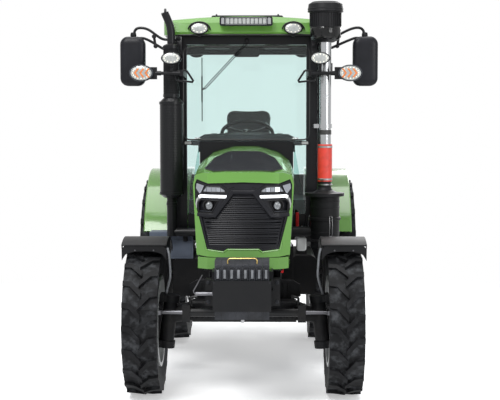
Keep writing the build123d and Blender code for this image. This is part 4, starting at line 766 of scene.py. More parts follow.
class TRACTOR_OT_stage(bpy.types.Operator):
    """Set the camera, the pale floor and the soft light"""

    bl_idname = "tractor.stage"
    bl_label = "Stage"

    def execute(self, context):
        stage = context.scene.tractor_stage
        context.scene.view_settings.view_transform = "Standard"
        camera = bpy.data.cameras.new("camera")
        camera.lens = stage.focal
        camera.sensor_width = 36.0
        camera.clip_end = 200.0
        eye = linked("camera", camera)
        eye.location = stage.eye
        eye.rotation_euler = (pi / 2 - stage.dip, 0.0, stage.turn)
        context.scene.camera = eye
        self.floor()
        self.sky()
        for name, spot, aim, size, share in (
            ("key", (-2.5, -6.0, 7.0), (0, -0.6, 1.2), 3.5, 1.35),
            ("fill", (5.5, -7.0, 3.5), (0, -0.6, 1.2), 3.5, 0.5),
            ("top", (0.0, 0.0, 8.5), (0, -0.2, 0.0), 6.0, 1.5),
            ("back", (3.0, 7.0, 5.0), (0, 0.6, 1.4), 4.0, 0.6),
        ):
            light = bpy.data.lights.new(name, "AREA")
            light.size = size
            light.energy = stage.key * share
            lamp = linked(name, light)
            lamp.location = spot
            lamp.rotation_euler = (Vector(aim) - Vector(spot)).to_track_quat("-Z", "Y").to_euler()
        return {"FINISHED"}

    def floor(self):
        """Pale floor that turns plain white away from the machine."""
        web = Web("floor")
        cloud = web.noise(0.6, 3.0)
        web.surface(
            Base_Color=web.mix(cloud, (0.90, 0.90, 0.90), (0.94, 0.94, 0.94)),
            Roughness=cloud * 0.1 + 0.75, Specular_IOR_Level=0.2, Emission_Color=WHITE,
            Emission_Strength=0.42,
        )
        x, y, _ = web.axes()
        far = ((x * x) + (y * y)).root().between(2.0, 5.5)
        plain = web.output.inputs["Surface"].links[0].from_socket
        bright = web.node("ShaderNodeEmission", None, {"Color": WHITE, "Strength": 1.0})
        blend = web.node("ShaderNodeMixShader", None, {
            0: far * Num(web, seen_directly(web.tree)), 1: plain, 2: bright.outputs[0],
        })
        web.feed(web.output.inputs["Surface"], blend.outputs[0])
        grid = bmesh.new()
        bmesh.ops.create_grid(grid, x_segments=8, y_segments=8, size=60.0)
        data = bpy.data.meshes.new("floor")
        grid.to_mesh(data)
        grid.free()
        data.materials.append(FINISHES["floor"])
        linked("floor", data)

    def sky(self):
        """Soft sky that looks plain white."""
        world = bpy.data.worlds.new("sky")
        world.use_nodes = True
        bpy.context.scene.world = world
        tree = world.node_tree
        tree.nodes.clear()
        choose = tree.nodes.new("ShaderNodeMixShader")
        tree.links.new(seen_directly(tree), choose.inputs[0])
        for spot, tint, strength in ((1, (0.86, 0.93, 1.0, 1.0), 0.36), (2, WHITE, 1.0)):
            sky = tree.nodes.new("ShaderNodeBackground")
            sky.inputs["Color"].default_value = tint
            sky.inputs["Strength"].default_value = strength
            tree.links.new(sky.outputs[0], choose.inputs[spot])
        out = tree.nodes.new("ShaderNodeOutputWorld")
        tree.links.new(choose.outputs[0], out.inputs["Surface"])


# ---------------------------------------------------------------- helpers for fitted pieces
def skin(*names):
    """Search tree over some solids' surfaces."""
    points, faces = [], []
    for name in names:
        data = nodes[name].data
        base = len(points)
        points += [vertex.co.copy() for vertex in data.vertices]
        faces += [[base + k for k in face.vertices] for face in data.polygons]
    return BVHTree.FromPolygons(points, faces)


def cast(tree, start, toward):
    """Where a ray first meets the surface, with the normal on its side; None if it misses."""
    spot, normal, _, _ = tree.ray_cast(Vector(start), Vector(toward).normalized())
    if spot is None:
        return None
    return spot, -normal if normal.dot(Vector(toward)) > 0 else normal


def meet(tree, start, toward):
    """What cast finds, for a ray that must not miss."""
    met = cast(tree, start, toward)
    if met is None:
        raise RuntimeError(f"no surface met from {start}")
    return met


def spread(line, step, closed=False):
    """Points added along a line so that no run is longer than step."""
    made = []
    runs = list(zip(line, line[1:] + line[:1] if closed else line[1:]))
    for first, second in runs:
        first, second = Vector(first), Vector(second)
        count = max(1, ceil((second - first).length / step))
        made += [first.lerp(second, k / count) for k in range(count)]
    if not closed:
        made.append(Vector(line[-1]))
    return made


def mitres(line, closed=False):
    """Sideways direction at each point of a flat line, longer at its corners."""
    made = []
    count = len(line)
    for k, here in enumerate(line):
        before = line[k - 1] if closed or k else None
        after = line[(k + 1) % count] if closed or k < count - 1 else None
        first = (here - before).normalized() if before is not None else (after - here).normalized()
        second = (after - here).normalized() if after is not None else first
        normal = Vector((-first.y - second.y, first.x + second.x)).normalized()
        made.append(normal / max(0.4, normal.dot(Vector((-first.y, first.x)))))
    return made


NOSE_LEAN = radians(8)
NOSE_ARC = 1.0076


def nose_at(x, z, out=0.0):
    """Point over the mask's curved face, seen at (x, z) from the front."""
    reach = abs(x)
    bulge = NOSE_ARC - sqrt(NOSE_ARC ** 2 - min(reach, 0.24) ** 2) + max(0.0, reach - 0.24) * 0.822
    rise = (z - 1.052 + bulge * sin(NOSE_LEAN)) / cos(NOSE_LEAN)
    return Vector((x, -1.654 - out + bulge * cos(NOSE_LEAN) + rise * sin(NOSE_LEAN), z))


def along_nose(piece, line, width, low, high, lip=0.003, closed=False, step=0.02):
    """Moulded strip on the nose along a line in the front view."""
    line = spread(line, step, closed)
    half = width / 2
    section = (
        (half, low), (half, high - lip), (half - lip, high), (lip - half, high),
        (-half, high - lip), (-half, low),
    )
    rings = []
    for here, normal in zip(line, mitres(line, closed)):
        rings.append([nose_at(here.x + normal.x * u, here.y + normal.y * u, out) for u,
                      out in section])
    if closed:
        rings.append(rings[0])
    piece.rings(rings, caps=not closed)


def flipped(hand, line):
    return [(hand * x, z) for x, z in line]


def on_side(side, outline):
    """Outline drawn for the left, moved to a side and still anticlockwise."""
    return flipped(side, outline)[::side]


def pad_on_nose(piece, outline, low, high, lip=0.002):
    """Flat moulding on the nose with a bevelled edge."""
    outline = [tuple(p) for p in spread(outline, 0.03, True)]
    area = sum(a[0] * b[1] - b[0] * a[1] for a, b in zip(outline, outline[1:] + outline[:1]))
    if area < 0:
        outline.reverse()
    inner = inset(outline, lip)
    piece.rings([
        [nose_at(x, z, low) for x, z in outline], [nose_at(x, z, high - lip) for x, z in outline],
        [nose_at(x, z, high) for x, z in inner],
    ])


# ---------------------------------------------------------------- nose
ARCH = ((0.312, 1.325), (0.19, 1.322), (0.073, 1.478), (-0.073, 1.478), (-0.19, 1.322),
        (-0.312, 1.325))
POCKET = ((0.168, 1.420), (0.288, 1.426), (0.306, 1.405), (0.300, 1.336), (0.214, 1.336))
LEDGE = ((0.205, 1.348), (0.295, 1.347))
BEZEL = ((0.118, 1.477), (0.121, 1.492), (0.160, 1.516), (0.252, 1.518), (0.280, 1.477))
STRIP = ((0.112, 1.4475), (0.286, 1.4505), (0.300, 1.442))
STRIP_END = ((0.301, 1.441), (0.314, 1.425), (0.3205, 1.395), (0.320, 1.365))
LAMP_WING = ((0.266, 1.520), (0.319, 1.534), (0.323, 1.500), (0.296, 1.466), (0.284, 1.480))
LAMP_CELLS = (0.126, 0.152, 0.182, 0.214, 0.246, 0.268)
CELL_TILTS = (0.002, 0.005, 0.001, 0.004, 0.002)
FOOT = ((-0.262, 1.148), (-0.250, 1.095), (-0.128, 1.080), (-0.104, 1.098),
        (0.104, 1.098), (0.128, 1.080), (0.250, 1.095), (0.262, 1.148))
BROW = ((-0.318, 1.554), (-0.24, 1.530), (0.0, 1.538), (0.24, 1.530), (0.318, 1.554))
SEAM = ((0.060, 1.512), (0.100, 1.500), (0.150, 1.531))
MESH_EDGE = [Vector(p) for p in ((0.20, -1.512), (0.268, -1.39), (0.215, -1.04), (0.13, -0.95))]


def lamp_top(x):
    return 1.49 + min(1.0, (x - 0.122) / 0.038) * 0.022 if x < 0.25 else 1.514 - (x - 0.25) * 1.3


def mesh_half(y):
    """Half width of the hood's mesh."""
    for (near, start), (far, end) in zip(MESH_EDGE, MESH_EDGE[1:]):
        if start <= y <= end:
            return near + (far - near) * (y - start) / (end - start)
    return MESH_EDGE[0 if y < MESH_EDGE[0][1] else -1][0]


class TRACTOR_OT_nose(bpy.types.Operator):
    """Fit the nose's mouldings, lamp internals, slats and mesh"""

    bl_idname = "tractor.nose"
    bl_label = "Nose"

    def execute(self, context):
        arch = Piece("grille_arch", "satin_plastic", "hood")
        along_nose(arch, ARCH, 0.024, -0.006, 0.010, 0.004)
        arch.done()
        self.lamps()
        self.slats(context.scene.tractor_parts.slat)
        lips = Piece("nose_mouldings", "enamel", "hood")
        along_nose(lips, FOOT, 0.011, 0.0, 0.010, 0.005)
        lips.done()
        seams = Piece("mask_seams", "gloss_plastic", "hood")
        for side in (1, -1):
            along_nose(seams, flipped(side, SEAM), 0.003, -0.002, 0.0015, 0.001)
        along_nose(seams, BROW, 0.006, -0.002, 0.0025, 0.001)
        seams.done()
        tree = skin("hood")
        self.hood_mesh(tree)
        self.hood_sides(tree)
        return {"FINISHED"}

    def lamps(self):
        """Fog lamps in their pockets, headlamp cells and running lights."""
        made = frames, wells, glow, ledges, cells, bezels, strips, ends = [
            Piece(name, finish, "hood") for name, finish in (
                ("fog_pocket_frames", "black_plastic"), ("fog_lamp_bodies", "gloss_plastic"),
                ("fog_lamp_lenses", "clear_lens"), ("fog_pocket_ledges", "grey_plastic"),
                ("headlamp_reflectors", "reflector"), ("headlamp_bezels", "gloss_plastic"),
                ("running_lights", "lit_strip"), ("running_light_ends", "white_lens"),
            )
        ]
        for side in (1, -1):
            for piece, line, *sizes in (
                (frames, POCKET, 0.009, -0.020, 0.005, 0.003, True),
                (ledges, LEDGE, 0.006, -0.026, -0.008, 0.002),
                (bezels, BEZEL, 0.005, -0.004, 0.006, 0.002, True),
                (strips, STRIP, 0.020, -0.004, 0.005, 0.003),
                (ends, STRIP_END, 0.011, -0.004, 0.004, 0.002),
            ):
                along_nose(piece, flipped(side, line), *sizes)
            place = facing(nose_at(side * 0.232, 1.388, -0.028), (side * 0.18, -1, 0))
            wells.lathe((
                (0.037, 0), (0.037, 0.018), (0.034, 0.022), (0.029, 0.022), (0.027, 0.012),
                (0.0, 0.012),
            ), place, 32)
            glow.lathe(((0.017, 0.011), (0.017, 0.018), (0.011, 0.022), (0.0, 0.023)), place, 24)
            for near, far, tilt in zip(LAMP_CELLS, LAMP_CELLS[1:], CELL_TILTS):
                corners = (
                    (near + 0.002, 1.481, tilt), (far - 0.002, 1.481, 0.002),
                    (far - 0.002, lamp_top(far) - 0.003, 0.005 - tilt),
                    (near + 0.002, lamp_top(near) - 0.003, 0.001),
                )
                cells.rings([
                    [nose_at(side * x, z, -0.004) for x, z, _ in corners],
                    [nose_at(side * x, z, out) for x, z, out in corners],
                ])
            pad_on_nose(cells, flipped(side, LAMP_WING), -0.004, 0.003)
        done_all(made)

    def slats(self, pitch):
        """Slats in the grille, with four uprights behind them."""
        slats = Piece("grille_slats", "satin_plastic", "hood")
        section = ((0.0, -0.028), (0.0045, -0.0085), (0.0, -0.0065), (-0.002, -0.010))
        z = 1.128
        while z < 1.462:
            if z < 1.305:
                half = 0.234 + (z - 1.114) / 0.202 * 0.05
            else:
                half = 0.19 - (z - 1.316) / 0.154 * 0.12
            line = spread(((-half + 0.012, z), (half - 0.012, z)), 0.06)
            slats.rings([[nose_at(p.x, p.y + rise, out) for rise, out in section] for p in line])
            z += pitch
        for x in (-0.17, -0.06, 0.06, 0.17):
            along_nose(slats, [(x, 1.12), (x, 1.31 if abs(x) > 0.1 else 1.46)], 0.004, -0.03,
                       -0.0095, 0.001)
        slats.done()

    def hood_mesh(self, tree):
        """Dark mesh let into the hood's top, following its crown; the shade under its openings is
        painted.
        """
        columns, up = 14, Vector((0, 0, 0.0025))
        rows = []
        for level in range(23):
            y = -1.512 + level * (0.562 / 22)
            row = []
            for k in range(-columns, columns + 1):
                bow = 0.02 * (1 - (k / columns) ** 2) * (1 if y > -1.0 else 0)
                start = (mesh_half(y) * k / columns, y + bow * 0.5, 2.5)
                row.append(meet(tree, start, (0, 0, -1))[0] + up)
            rows.append(row)
        panel = Piece("hood_mesh", "mesh_black", "hood")
        panel.rings(rows, closed=False)
        panel.done(smooth=60)
        loop = rows[0] + [row[-1] for row in rows[1:]]
        loop += rows[-1][-2::-1] + [row[0] for row in rows[-2:0:-1]]
        Piece("hood_mesh_border", "satin_plastic", "hood").tube(loop, 0.004, 6,
                                                                True).done(smooth=60)

    def hood_sides(self, tree):
        """Vent slots and a latch with its key plate on each side."""
        vents = Piece("hood_vents", "satin_plastic", "hood")
        across = Vector((0, 0.019, 0))
        for side in (1, -1):
            for k in range(9):
                slat = []
                for z in (1.16, 1.20, 1.24, 1.28, 1.32, 1.36):
                    start = (side * 1.0, -1.36 + k * 0.062 + (z - 1.16) * 0.25, z)
                    at, out = meet(tree, start, (-side, 0, 0))
                    slat.append([at + across * way + out * rise for way, rise in (
                        (-1, -0.003), (-1, 0.003), (1, 0.007), (1, -0.003),
                    )])
                vents.rings(slat)
        vents.done(0.001)
        steel = Piece("hood_latches", "steel", "hood")
        key = ((0.010, 0.002), (0.010, 0.009), (0.008, 0.011), (0.003, 0.011), (0.003, 0.008))
        for side in (1, -1):
            spot, normal = meet(tree, (side * 1.0, -1.50, 1.115), (-side, 0, 0))
            place = facing(spot - normal * 0.001, normal)
            steel.prism(rounded(0.045, 0.026, 0.008), place, 0.003, 0.0, 0.001).lathe(key, place,
                                                                                      24)
        steel.done()


# ---------------------------------------------------------------- weights
class TRACTOR_OT_weights(bpy.types.Operator):
    """Finish the front weights with tabs, ribs, handle, pins and bolts"""

    bl_idname = "tractor.weights"
    bl_label = "Front weights"

    def execute(self, context):
        size = context.scene.tractor_parts.bolt
        tabs = Piece("weight_tabs", "pale_casting")
        ribs = Piece("weight_ribs", "grey_casting")
        shoulder = [(-0.019, 0), (0.019, 0), (0.019, 0.012), (0.008, 0.018), (-0.008, 0.018),
                    (-0.019, 0.012)]
        for k in range(8):
            x = (k - 3.5) * 0.044
            tabs.block((x - 0.0085, -1.992, 0.950), (x + 0.0085, -1.984, 1.006))
            for edge in (-0.0155, 0.0155):
                ribs.block((x + edge - 0.0035, -1.996, 0.94), (x + edge + 0.0035, -1.984, 1.015))
            ribs.prism(shoulder, facing_front(x, -1.984, 1.022), 0.009, 0.0, 0.003)
        tabs.done(0.002)
        ribs.done(0.0012)
        handle = ((-0.092, 1.040), (-0.092, 1.062), (-0.086, 1.071), (-0.076, 1.074),
                  (0.080, 1.075), (0.090, 1.072), (0.096, 1.063), (0.096, 1.040))
        wire = Piece("weight_handle", "gilt")
        wire.tube([(x, -1.952, z) for x, z in handle], 0.0038, 10).done(smooth=60)
        bolts = Piece("guard_bolts", "grey_casting")
        for side in (1, -1):
            for z in (0.765, 0.892):
                bolts.bolt((side * 0.226, -1.757, z), FORWARDS, size * 0.8)
        for x in (-0.178, 0.178):
            bolts.bolt((x, -1.996, 0.925), FORWARDS, size * 0.4)
        bolts.done()
        pin = Piece("tow_pin", "dark_steel")
        pin.lathe(((0.012, 0), (0.012, 0.115), (0.009, 0.122)),
                  place_at((-0.19, -1.772, 0.82), (0, 1, 0), (0, 0, -1)), 20)
        pin.tube(((-0.300, -1.772, 0.820), (-0.318, -1.774, 0.824), (-0.324, -1.776, 0.838),
                  (-0.300, -1.778, 0.880), (-0.264, -1.778, 0.945)), 0.0045, 8)
        pin.lathe(((0.016, 0), (0.016, 0.010), (0.013, 0.013)),
                  place_at((-0.186, -1.772, 0.82), (0, 1, 0), (0, 0, -1)), 20)
        pin.done()
        place = place_at((0.004, -1.93, 0.682), (1, 0, 0), (0, -1, 0))
        stub = Piece("weight_clamp_pin", "steel")
        stub.lathe(((0.012, 0), (0.012, 0.02), (0.008, 0.026)), place, 16).done()
        return {"FINISHED"}


# ---------------------------------------------------------------- exhaust and intake
def clamp(piece, centre, radius, height=0.012, turn=0.0):
    """Worm-drive band with its screw box, about an upright axis."""
    place = upright(*centre) @ Matrix.Rotation(turn, 4, "Z")
    inner, outer = radius - 0.001, radius + 0.0012
    low, high = -height / 2, height / 2
    piece.lathe(((inner, low), (outer, low), (outer, high), (inner, high)), place, 40, True)
    box = place @ upright(0, -radius - 0.004)
    piece.prism(oblong(-0.012, -0.005, 0.012, 0.005), box, height, low, 0.002)
    screw = box @ Matrix.Rotation(pi / 2, 4, "Y") @ upright(0, 0, 0.012)
    piece.lathe(((0.0045, 0), (0.0045, 0.010), (0.003, 0.012)), screw, 6)


class TRACTOR_OT_stacks(bpy.types.Operator):
    """Fit the exhaust's shrouds and the air intake's fittings"""

    bl_idname = "tractor.stacks"
    bl_label = "Stacks"

    def execute(self, context):
        size = context.scene.tractor_parts.bolt
        place = upright(*EXHAUST)
        Piece("exhaust_sleeve", "shroud_holes").hoop(place, 0.0585, 0.0605, 2.140, 2.520, 0.002,
                                                     64).done()
        profile = [(0.088, 1.400)]
        for k in range(56):
            z = 1.405 + k * 0.0123
            profile += [(0.0882, z), (0.0892, z + 0.003), (0.0892, z + 0.006), (0.0882, z + 0.009)]
        ribs = Piece("muffler_ribs", "black_enamel")
        ribs.lathe((*profile, (0.088, 2.094)), place, 56).done(smooth=50)
        bands = Piece("exhaust_bands", "black_enamel")
        for radius, z in ((0.0605, 2.146), (0.0605, 2.512), (0.0905, 2.09), (0.0905, 1.402),
                          (0.039, 1.32)):
            bands.hoop(place, radius, radius + 0.003, z - 0.011, z + 0.011, 0.001, 56)
        bands.done()
        x, y = EXHAUST
        tip = facing((-0.618, y, 2.775), (-0.632, 0, 0.775))
        Piece("tail_pipe_rim", "black_enamel").lathe((
            (0.0285, -0.012), (0.0305, -0.012), (0.0305, 0.002), (0.0285, 0.003), (0.0265, 0.002),
            (0.0265, -0.012),
        ), tip, 32, True).done()
        Piece("tail_pipe_bend", "black_enamel").tube(curve((
            (x, y, 2.545), (x, y, 2.615), (-0.581, y, 2.685), (-0.617, y, 2.772),
        )), 0.0302, 28).done(smooth=60)
        # near-black cap across the pipe's mouth, where the real pipe is open: soot and painted
        # shade for its inside
        mouth = Piece("tail_pipe_mouth", "soot_and_shade")
        mouth.lathe(((0.0268, 0.0004), (0.018, 0.0008), (0.0, 0.0008)), tip, 32).done()
        fasteners = Piece("exhaust_bolts", "steel")
        for z in (1.46, 2.02):
            for x in (-0.565, -0.535):
                fasteners.bolt((x, -0.252, z), FORWARDS, size * 0.8)
        fasteners.done()
        self.intake()
        return {"FINISHED"}

    def intake(self):
        place = upright(*INTAKE)
        ribs = Piece("precleaner_ribs", "black_plastic")
        for k in range(36):
            turn = Matrix.Rotation(2 * pi * k / 36, 4, "Z")
            ribs.prism(oblong(-0.0018, 0.113, 0.0018, 0.1205), place @ turn, 0.096, 2.664, 0.001)
        ribs.hoop(place, 0.115, 0.1215, 2.760, 2.772, 0.002, 56)
        ribs.hoop(place, 0.128, 0.1345, 2.786, 2.801, 0.004, 56)
        ribs.done(smooth=30)
        nut = Piece("precleaner_nut", "black_plastic")
        nut.lathe(((0.020, 2.8455), (0.020, 2.8465), (0.0, 2.8468)), place, 24).done()
        Piece("precleaner_bowl", "bowl").lathe((
            (0.064, 2.551), (0.106, 2.566), (0.1145, 2.600), (0.1175, 2.652), (0.1155, 2.656),
        ), place, 56).done(smooth=60)
        bands = Piece("intake_clamps", "steel")
        for z, radius, height, turn in (
            (1.758, 0.0555, 0.014, 0.4), (1.512, 0.0555, 0.014, -0.5), (2.556, 0.0635, 0.012, 0.2),
            (1.472, 0.0485, 0.010, 0.9),
        ):
            clamp(bands, (*INTAKE, z), radius, height, turn)
        bands.done()
        band = Piece("intake_pipe_band", "black_hose")
        band.hoop(place, 0.045, 0.0485, 1.850, 1.886, 0.002, 40).done()
        clips = Piece("air_cleaner_clips", "steel")
        for angle in (0.35, 2.3, -1.6):
            c, s = cos(angle - pi / 2), sin(angle - pi / 2)
            out = [Vector((INTAKE[0] + c * r, INTAKE[1] + s * r, z)) for r, z in (
                (0.113, 1.085), (0.119, 1.10), (0.126, 1.17), (0.119, 1.228), (0.113, 1.236),
            )]
            side = Vector((-s, c, 0)) * 0.011
            clips.tube([p + side for p in out] + [p - side for p in reversed(out)], 0.0022, 6, True)
        clips.done(smooth=60)
        rings = Piece("air_cleaner_rings", "black_plastic")
        for z in (1.11, 1.30, 1.345):
            rings.hoop(place, 0.112, 0.1145, z - 0.006, z + 0.006)
        rings.lathe(((0.018, 0.990), (0.024, 1.000), (0.022, 1.034), (0.03, 1.037)), place,
                    24).done()


# ---------------------------------------------------------------- lamps
LAMP_RIM = ((1.0, -0.006), (1.0, 0.004), (0.96, 0.008), (0.90, 0.010), (0.87, 0.007), (0.87, 0.0))
LAMP_LENS = ((0.87, 0.0), (0.86, 0.007), (0.6, 0.011), (0.3, 0.013), (0.02, 0.0135))
REAR_LENS = ((1, 0), (0.96, 0.004), (0.4, 0.006), (0.02, 0.0065))
ARROW = ((0.010, 0.0), (-0.014, -0.034), (0.0, -0.034), (0.026, 0.0), (0.0, 0.034), (-0.014, 0.034))
STRAP = ((0.530, 2.322), (0.450, 2.330), (0.440, 2.326), (0.392, 2.252), (0.396, 2.244),
         (0.512, 2.256),
         (0.520, 2.264))


def oval_lamp(shell, glass, cells, at, half_x, half_z, count):
    """Oval lamp: rim, domed lens and a ring of small cells."""
    place = facing_front(*at)
    shell.dome(half_x, half_z, place, LAMP_RIM)
    glass.dome(half_x, half_z, place, LAMP_LENS)
    for k in range(count):
        turn = 2 * pi * k / count
        spot = place @ upright(half_x * 0.68 * cos(turn), half_z * 0.66 * sin(turn), 0.0105)
        cells.lathe(((0.0055, 0), (0.005, 0.0015), (0.0, 0.002)), spot, 10)


class TRACTOR_OT_lamps(bpy.types.Operator):
    """Put lenses, rims, chevrons and brackets on every lamp"""

    bl_idname = "tractor.lamps"
    bl_label = "Lamps"

    def execute(self, context):
        size = context.scene.tractor_parts.bolt
        made = shell, turn_rims, glass, cells, amber, brackets = [
            Piece(name, finish) for name, finish in (
                ("lamp_rims", "black_plastic"), ("turn_lamp_rims", "grey_plastic"),
                ("lamp_lenses", "white_lens"), ("lamp_cells", "led_cell"),
                ("turn_lamp_chevrons", "amber_lens"), ("lamp_brackets", "black_enamel"),
            )
        ]
        for side in (1, -1):
            oval_lamp(shell, glass, cells, (side * 0.36, -0.3805, 2.66), 0.072, 0.0435, 10)
            oval_lamp(shell, glass, cells, (side * 0.555, -0.6405, 2.42), 0.076, 0.045, 12)
            oval_lamp(turn_rims, glass, cells, (side * 0.78, -0.6405, TURN_LAMP_Z), 0.091, 0.062,
                      16)
            for k in range(3):
                place = facing_front(side * (0.728 + k * 0.040), -0.6525, TURN_LAMP_Z)
                amber.prism(on_side(side, ARROW), place, 0.0035, 0.0, 0.001)
            # dark tube round the roof lamp: painted shade of its arched recess
            arch = [(side * 0.36 + 0.083 * cos(t), -0.372, 2.652 + 0.058 * sin(t))
                    for t in (pi * k / 16 for k in range(17))]
            shell.tube(arch, 0.006, 8)
            brackets.block((side * 0.36 - 0.012, -0.372, 2.600),
                           (side * 0.36 + 0.012, -0.350, 2.622))
            # bent strap inboard of the cross tube, and the tube's clamps
            brackets.tube([(side * x, -0.606, z) for x, z in STRAP], 0.008, 8, True)
            for x, outer, reach in ((0.52, 0.019, 0.03), (0.655, 0.0175, 0.022)):
                place = place_at((side * x, -0.605, TURN_LAMP_Z), (0, 1, 0), (0, 0, -1))
                brackets.hoop(place, 0.0135, outer, -reach, reach, 0.001, 24)
            brackets.bolt((side * 0.555, -0.6275, 2.368), FORWARDS, size * 0.8)
            # work lamps at the rear of the roof
            glass.dome(0.066, 0.038, facing_back(side * 0.48, 1.2605, 2.569), REAR_LENS, 32)
        done_all(made)
        self.tail_lamps()
        self.light_bar()
        self.markers()
        return {"FINISHED"}

    def tail_lamps(self):
        for name, lens_name, x in (("tail_lenses", "red_lens", 0.662),
                                   ("rear_turn_lenses", "amber_lens", 0.738)):
            piece = Piece(name, lens_name)
            for side in (1, -1):
                piece.prism(rounded(0.068, 0.056, 0.012), facing_back(side * x, 1.7795, 1.18),
                            0.009, 0.0, 0.004)
            piece.done()

    def light_bar(self):
        case = Piece("light_bar_trim", "chrome")
        lit = Piece("light_bar_cells", "white_lens")
        dark = Piece("light_bar_frame", "black_plastic")
        place = facing_front(0, -0.4255, 2.712)
        dark.ring(rounded(0.403, 0.064, 0.012), 0.005, place, 0.006)
        for k in range(10):
            outline = rounded(0.026, 0.042, 0.006, centre=((k - 4.5) * 0.031, 0.0))
            lit.prism(outline, place, 0.005, 0.0, 0.002)
        for side in (1, -1):
            case.prism(rounded(0.028, 0.050, 0.008, centre=(side * 0.178, 0.0)), place, 0.007, 0.0,
                       0.003)
        case.ring(rounded(0.318, 0.052, 0.008), 0.003, place, 0.0045)
        done_all((case, lit, dark))

    def markers(self):
        """Small white position lamps beside the cowl beam."""
        base = Piece("marker_bases", "black_plastic")
        glass = Piece("marker_lenses", "white_lens")
        for side in (1, -1):
            place = facing_front(side * 0.455, -0.2605, 1.782)
            base.prism(rounded(0.062, 0.032, 0.008), place, 0.010, 0.0, 0.002)
            glass.prism(rounded(0.052, 0.022, 0.006), place, 0.006, 0.010, 0.002)
        done_all((base, glass))


# ---------------------------------------------------------------- mirrors
MIRROR_OUTLINE = rounded(0.19, 0.378, 0.06, 8)
MIRROR_FACE = ((0.0, -0.004), (0.0, 0.0), (0.008, 0.010), (0.020, 0.017), (0.036, 0.021),
               (0.052, 0.022))


class TRACTOR_OT_mirrors(bpy.types.Operator):
    """Shape the mirror housings, their glasses and joints"""

    bl_idname = "tractor.mirrors"
    bl_label = "Mirrors"

    def execute(self, context):
        size = context.scene.tractor_parts.bolt
        shells = Piece("mirror_shells", "satin_plastic")
        glasses = Piece("mirror_glasses", "mirror_glass")
        bands = Piece("mirror_joints", "black_plastic")
        for side, reach in MIRRORS:
            x = side * reach
            back = facing_back(x, -0.3, 2.411)
            shells.stack(MIRROR_OUTLINE, facing_front(x, -0.36, 2.411), MIRROR_FACE)
            shells.ring(MIRROR_OUTLINE, 0.008, back, 0.006)
            glasses.prism(rounded(0.172, 0.36, 0.052, 8), back, 0.003, 0.0, 0.001)
            # cross link between the two arms, end knobs and the root bolts
            link = ((side * 0.712, -0.33, 2.602), (side * 0.700, -0.33, 2.528))
            bands.tube(link, 0.010, 10)
            for spot in link:
                bands.lathe(((0.0, -0.016), (0.016, -0.014), (0.016, 0.014), (0.0, 0.016)),
                            upright(*spot) @ Matrix.Rotation(pi / 2, 4, "X"), 16)
            bands.lathe(((0.0, -0.024), (0.020, -0.020), (0.024, 0.0), (0.020, 0.020),
                         (0.0, 0.024)),
                        upright(x - side * 0.004, -0.33, 2.612), 20)
            for z in (2.475, 2.53, 2.585):
                bands.bolt((side * 0.52, -0.344, z), FORWARDS, size * 0.9)
        done_all((shells, glasses, bands), smooth=40)
        return {"FINISHED"}


# ---------------------------------------------------------------- wheels
# kind, hub, nuts' circle, cap bolts' circle, rim's radius
WHEELS = (
    ("front", FRONT_HUB, 0.172, 0.085, FRONT_RIM),
    ("rear", REAR_HUB, 0.152, 0.06, REAR_RIM),
)


class TRACTOR_OT_wheels(bpy.types.Operator):
    """Fit nuts, cap bolts and valves to the wheels"""

    bl_idname = "tractor.wheels"
    bl_label = "Wheels"

    def execute(self, context):
        size = context.scene.tractor_parts.bolt
        for kind, (y, z), circle, cap_circle, rim in WHEELS:
            for label, side in SIDES:
                tree = skin(f"{kind}_rim_{label}")
                body = f"{kind}_wheel_{label}"
                nuts = Piece(f"{kind}_wheel_nuts_{label}", "steel", body)
                out = (side, 0, 0)
                for ring, count, width in ((circle, 8, size * 1.35), (cap_circle, 6, size * 0.75)):
                    for k in range(count):
                        turn = 2 * pi * (k + 0.5) / count
                        start = (side * 1.5, y + ring * cos(turn), z + ring * sin(turn))
                        nuts.bolt(meet(tree, start, (-side, 0, 0))[0], out, width)
                nuts.done()
                valve = Piece(f"{kind}_valve_{label}", "black_hose", body)
                spot, _ = meet(tree, (side * 1.5, y + rim - 0.055, z), (-side, 0, 0))
                stem = (spot, spot + Vector((side * 0.014, 0, 0)),
                        spot + Vector((side * 0.026, -0.010, 0)))
                valve.tube(curve(stem), 0.005, 10).done(smooth=60)
        return {"FINISHED"}


# ---------------------------------------------------------------- front axle and mudguards
def about_hub(side, x, radius, degrees_back):
    """Point round the front wheel's hub; degrees from upright, backwards."""
    turn = radians(degrees_back)
    y, z = FRONT_HUB
    return Vector((side * x, y + radius * sin(turn), z + radius * cos(turn)))


SUPPORT_WING = ((0.201, 0.640), (0.345, 0.665), (0.405, 0.690), (0.400, 0.775), (0.350, 0.805),
                (0.201, 0.815))


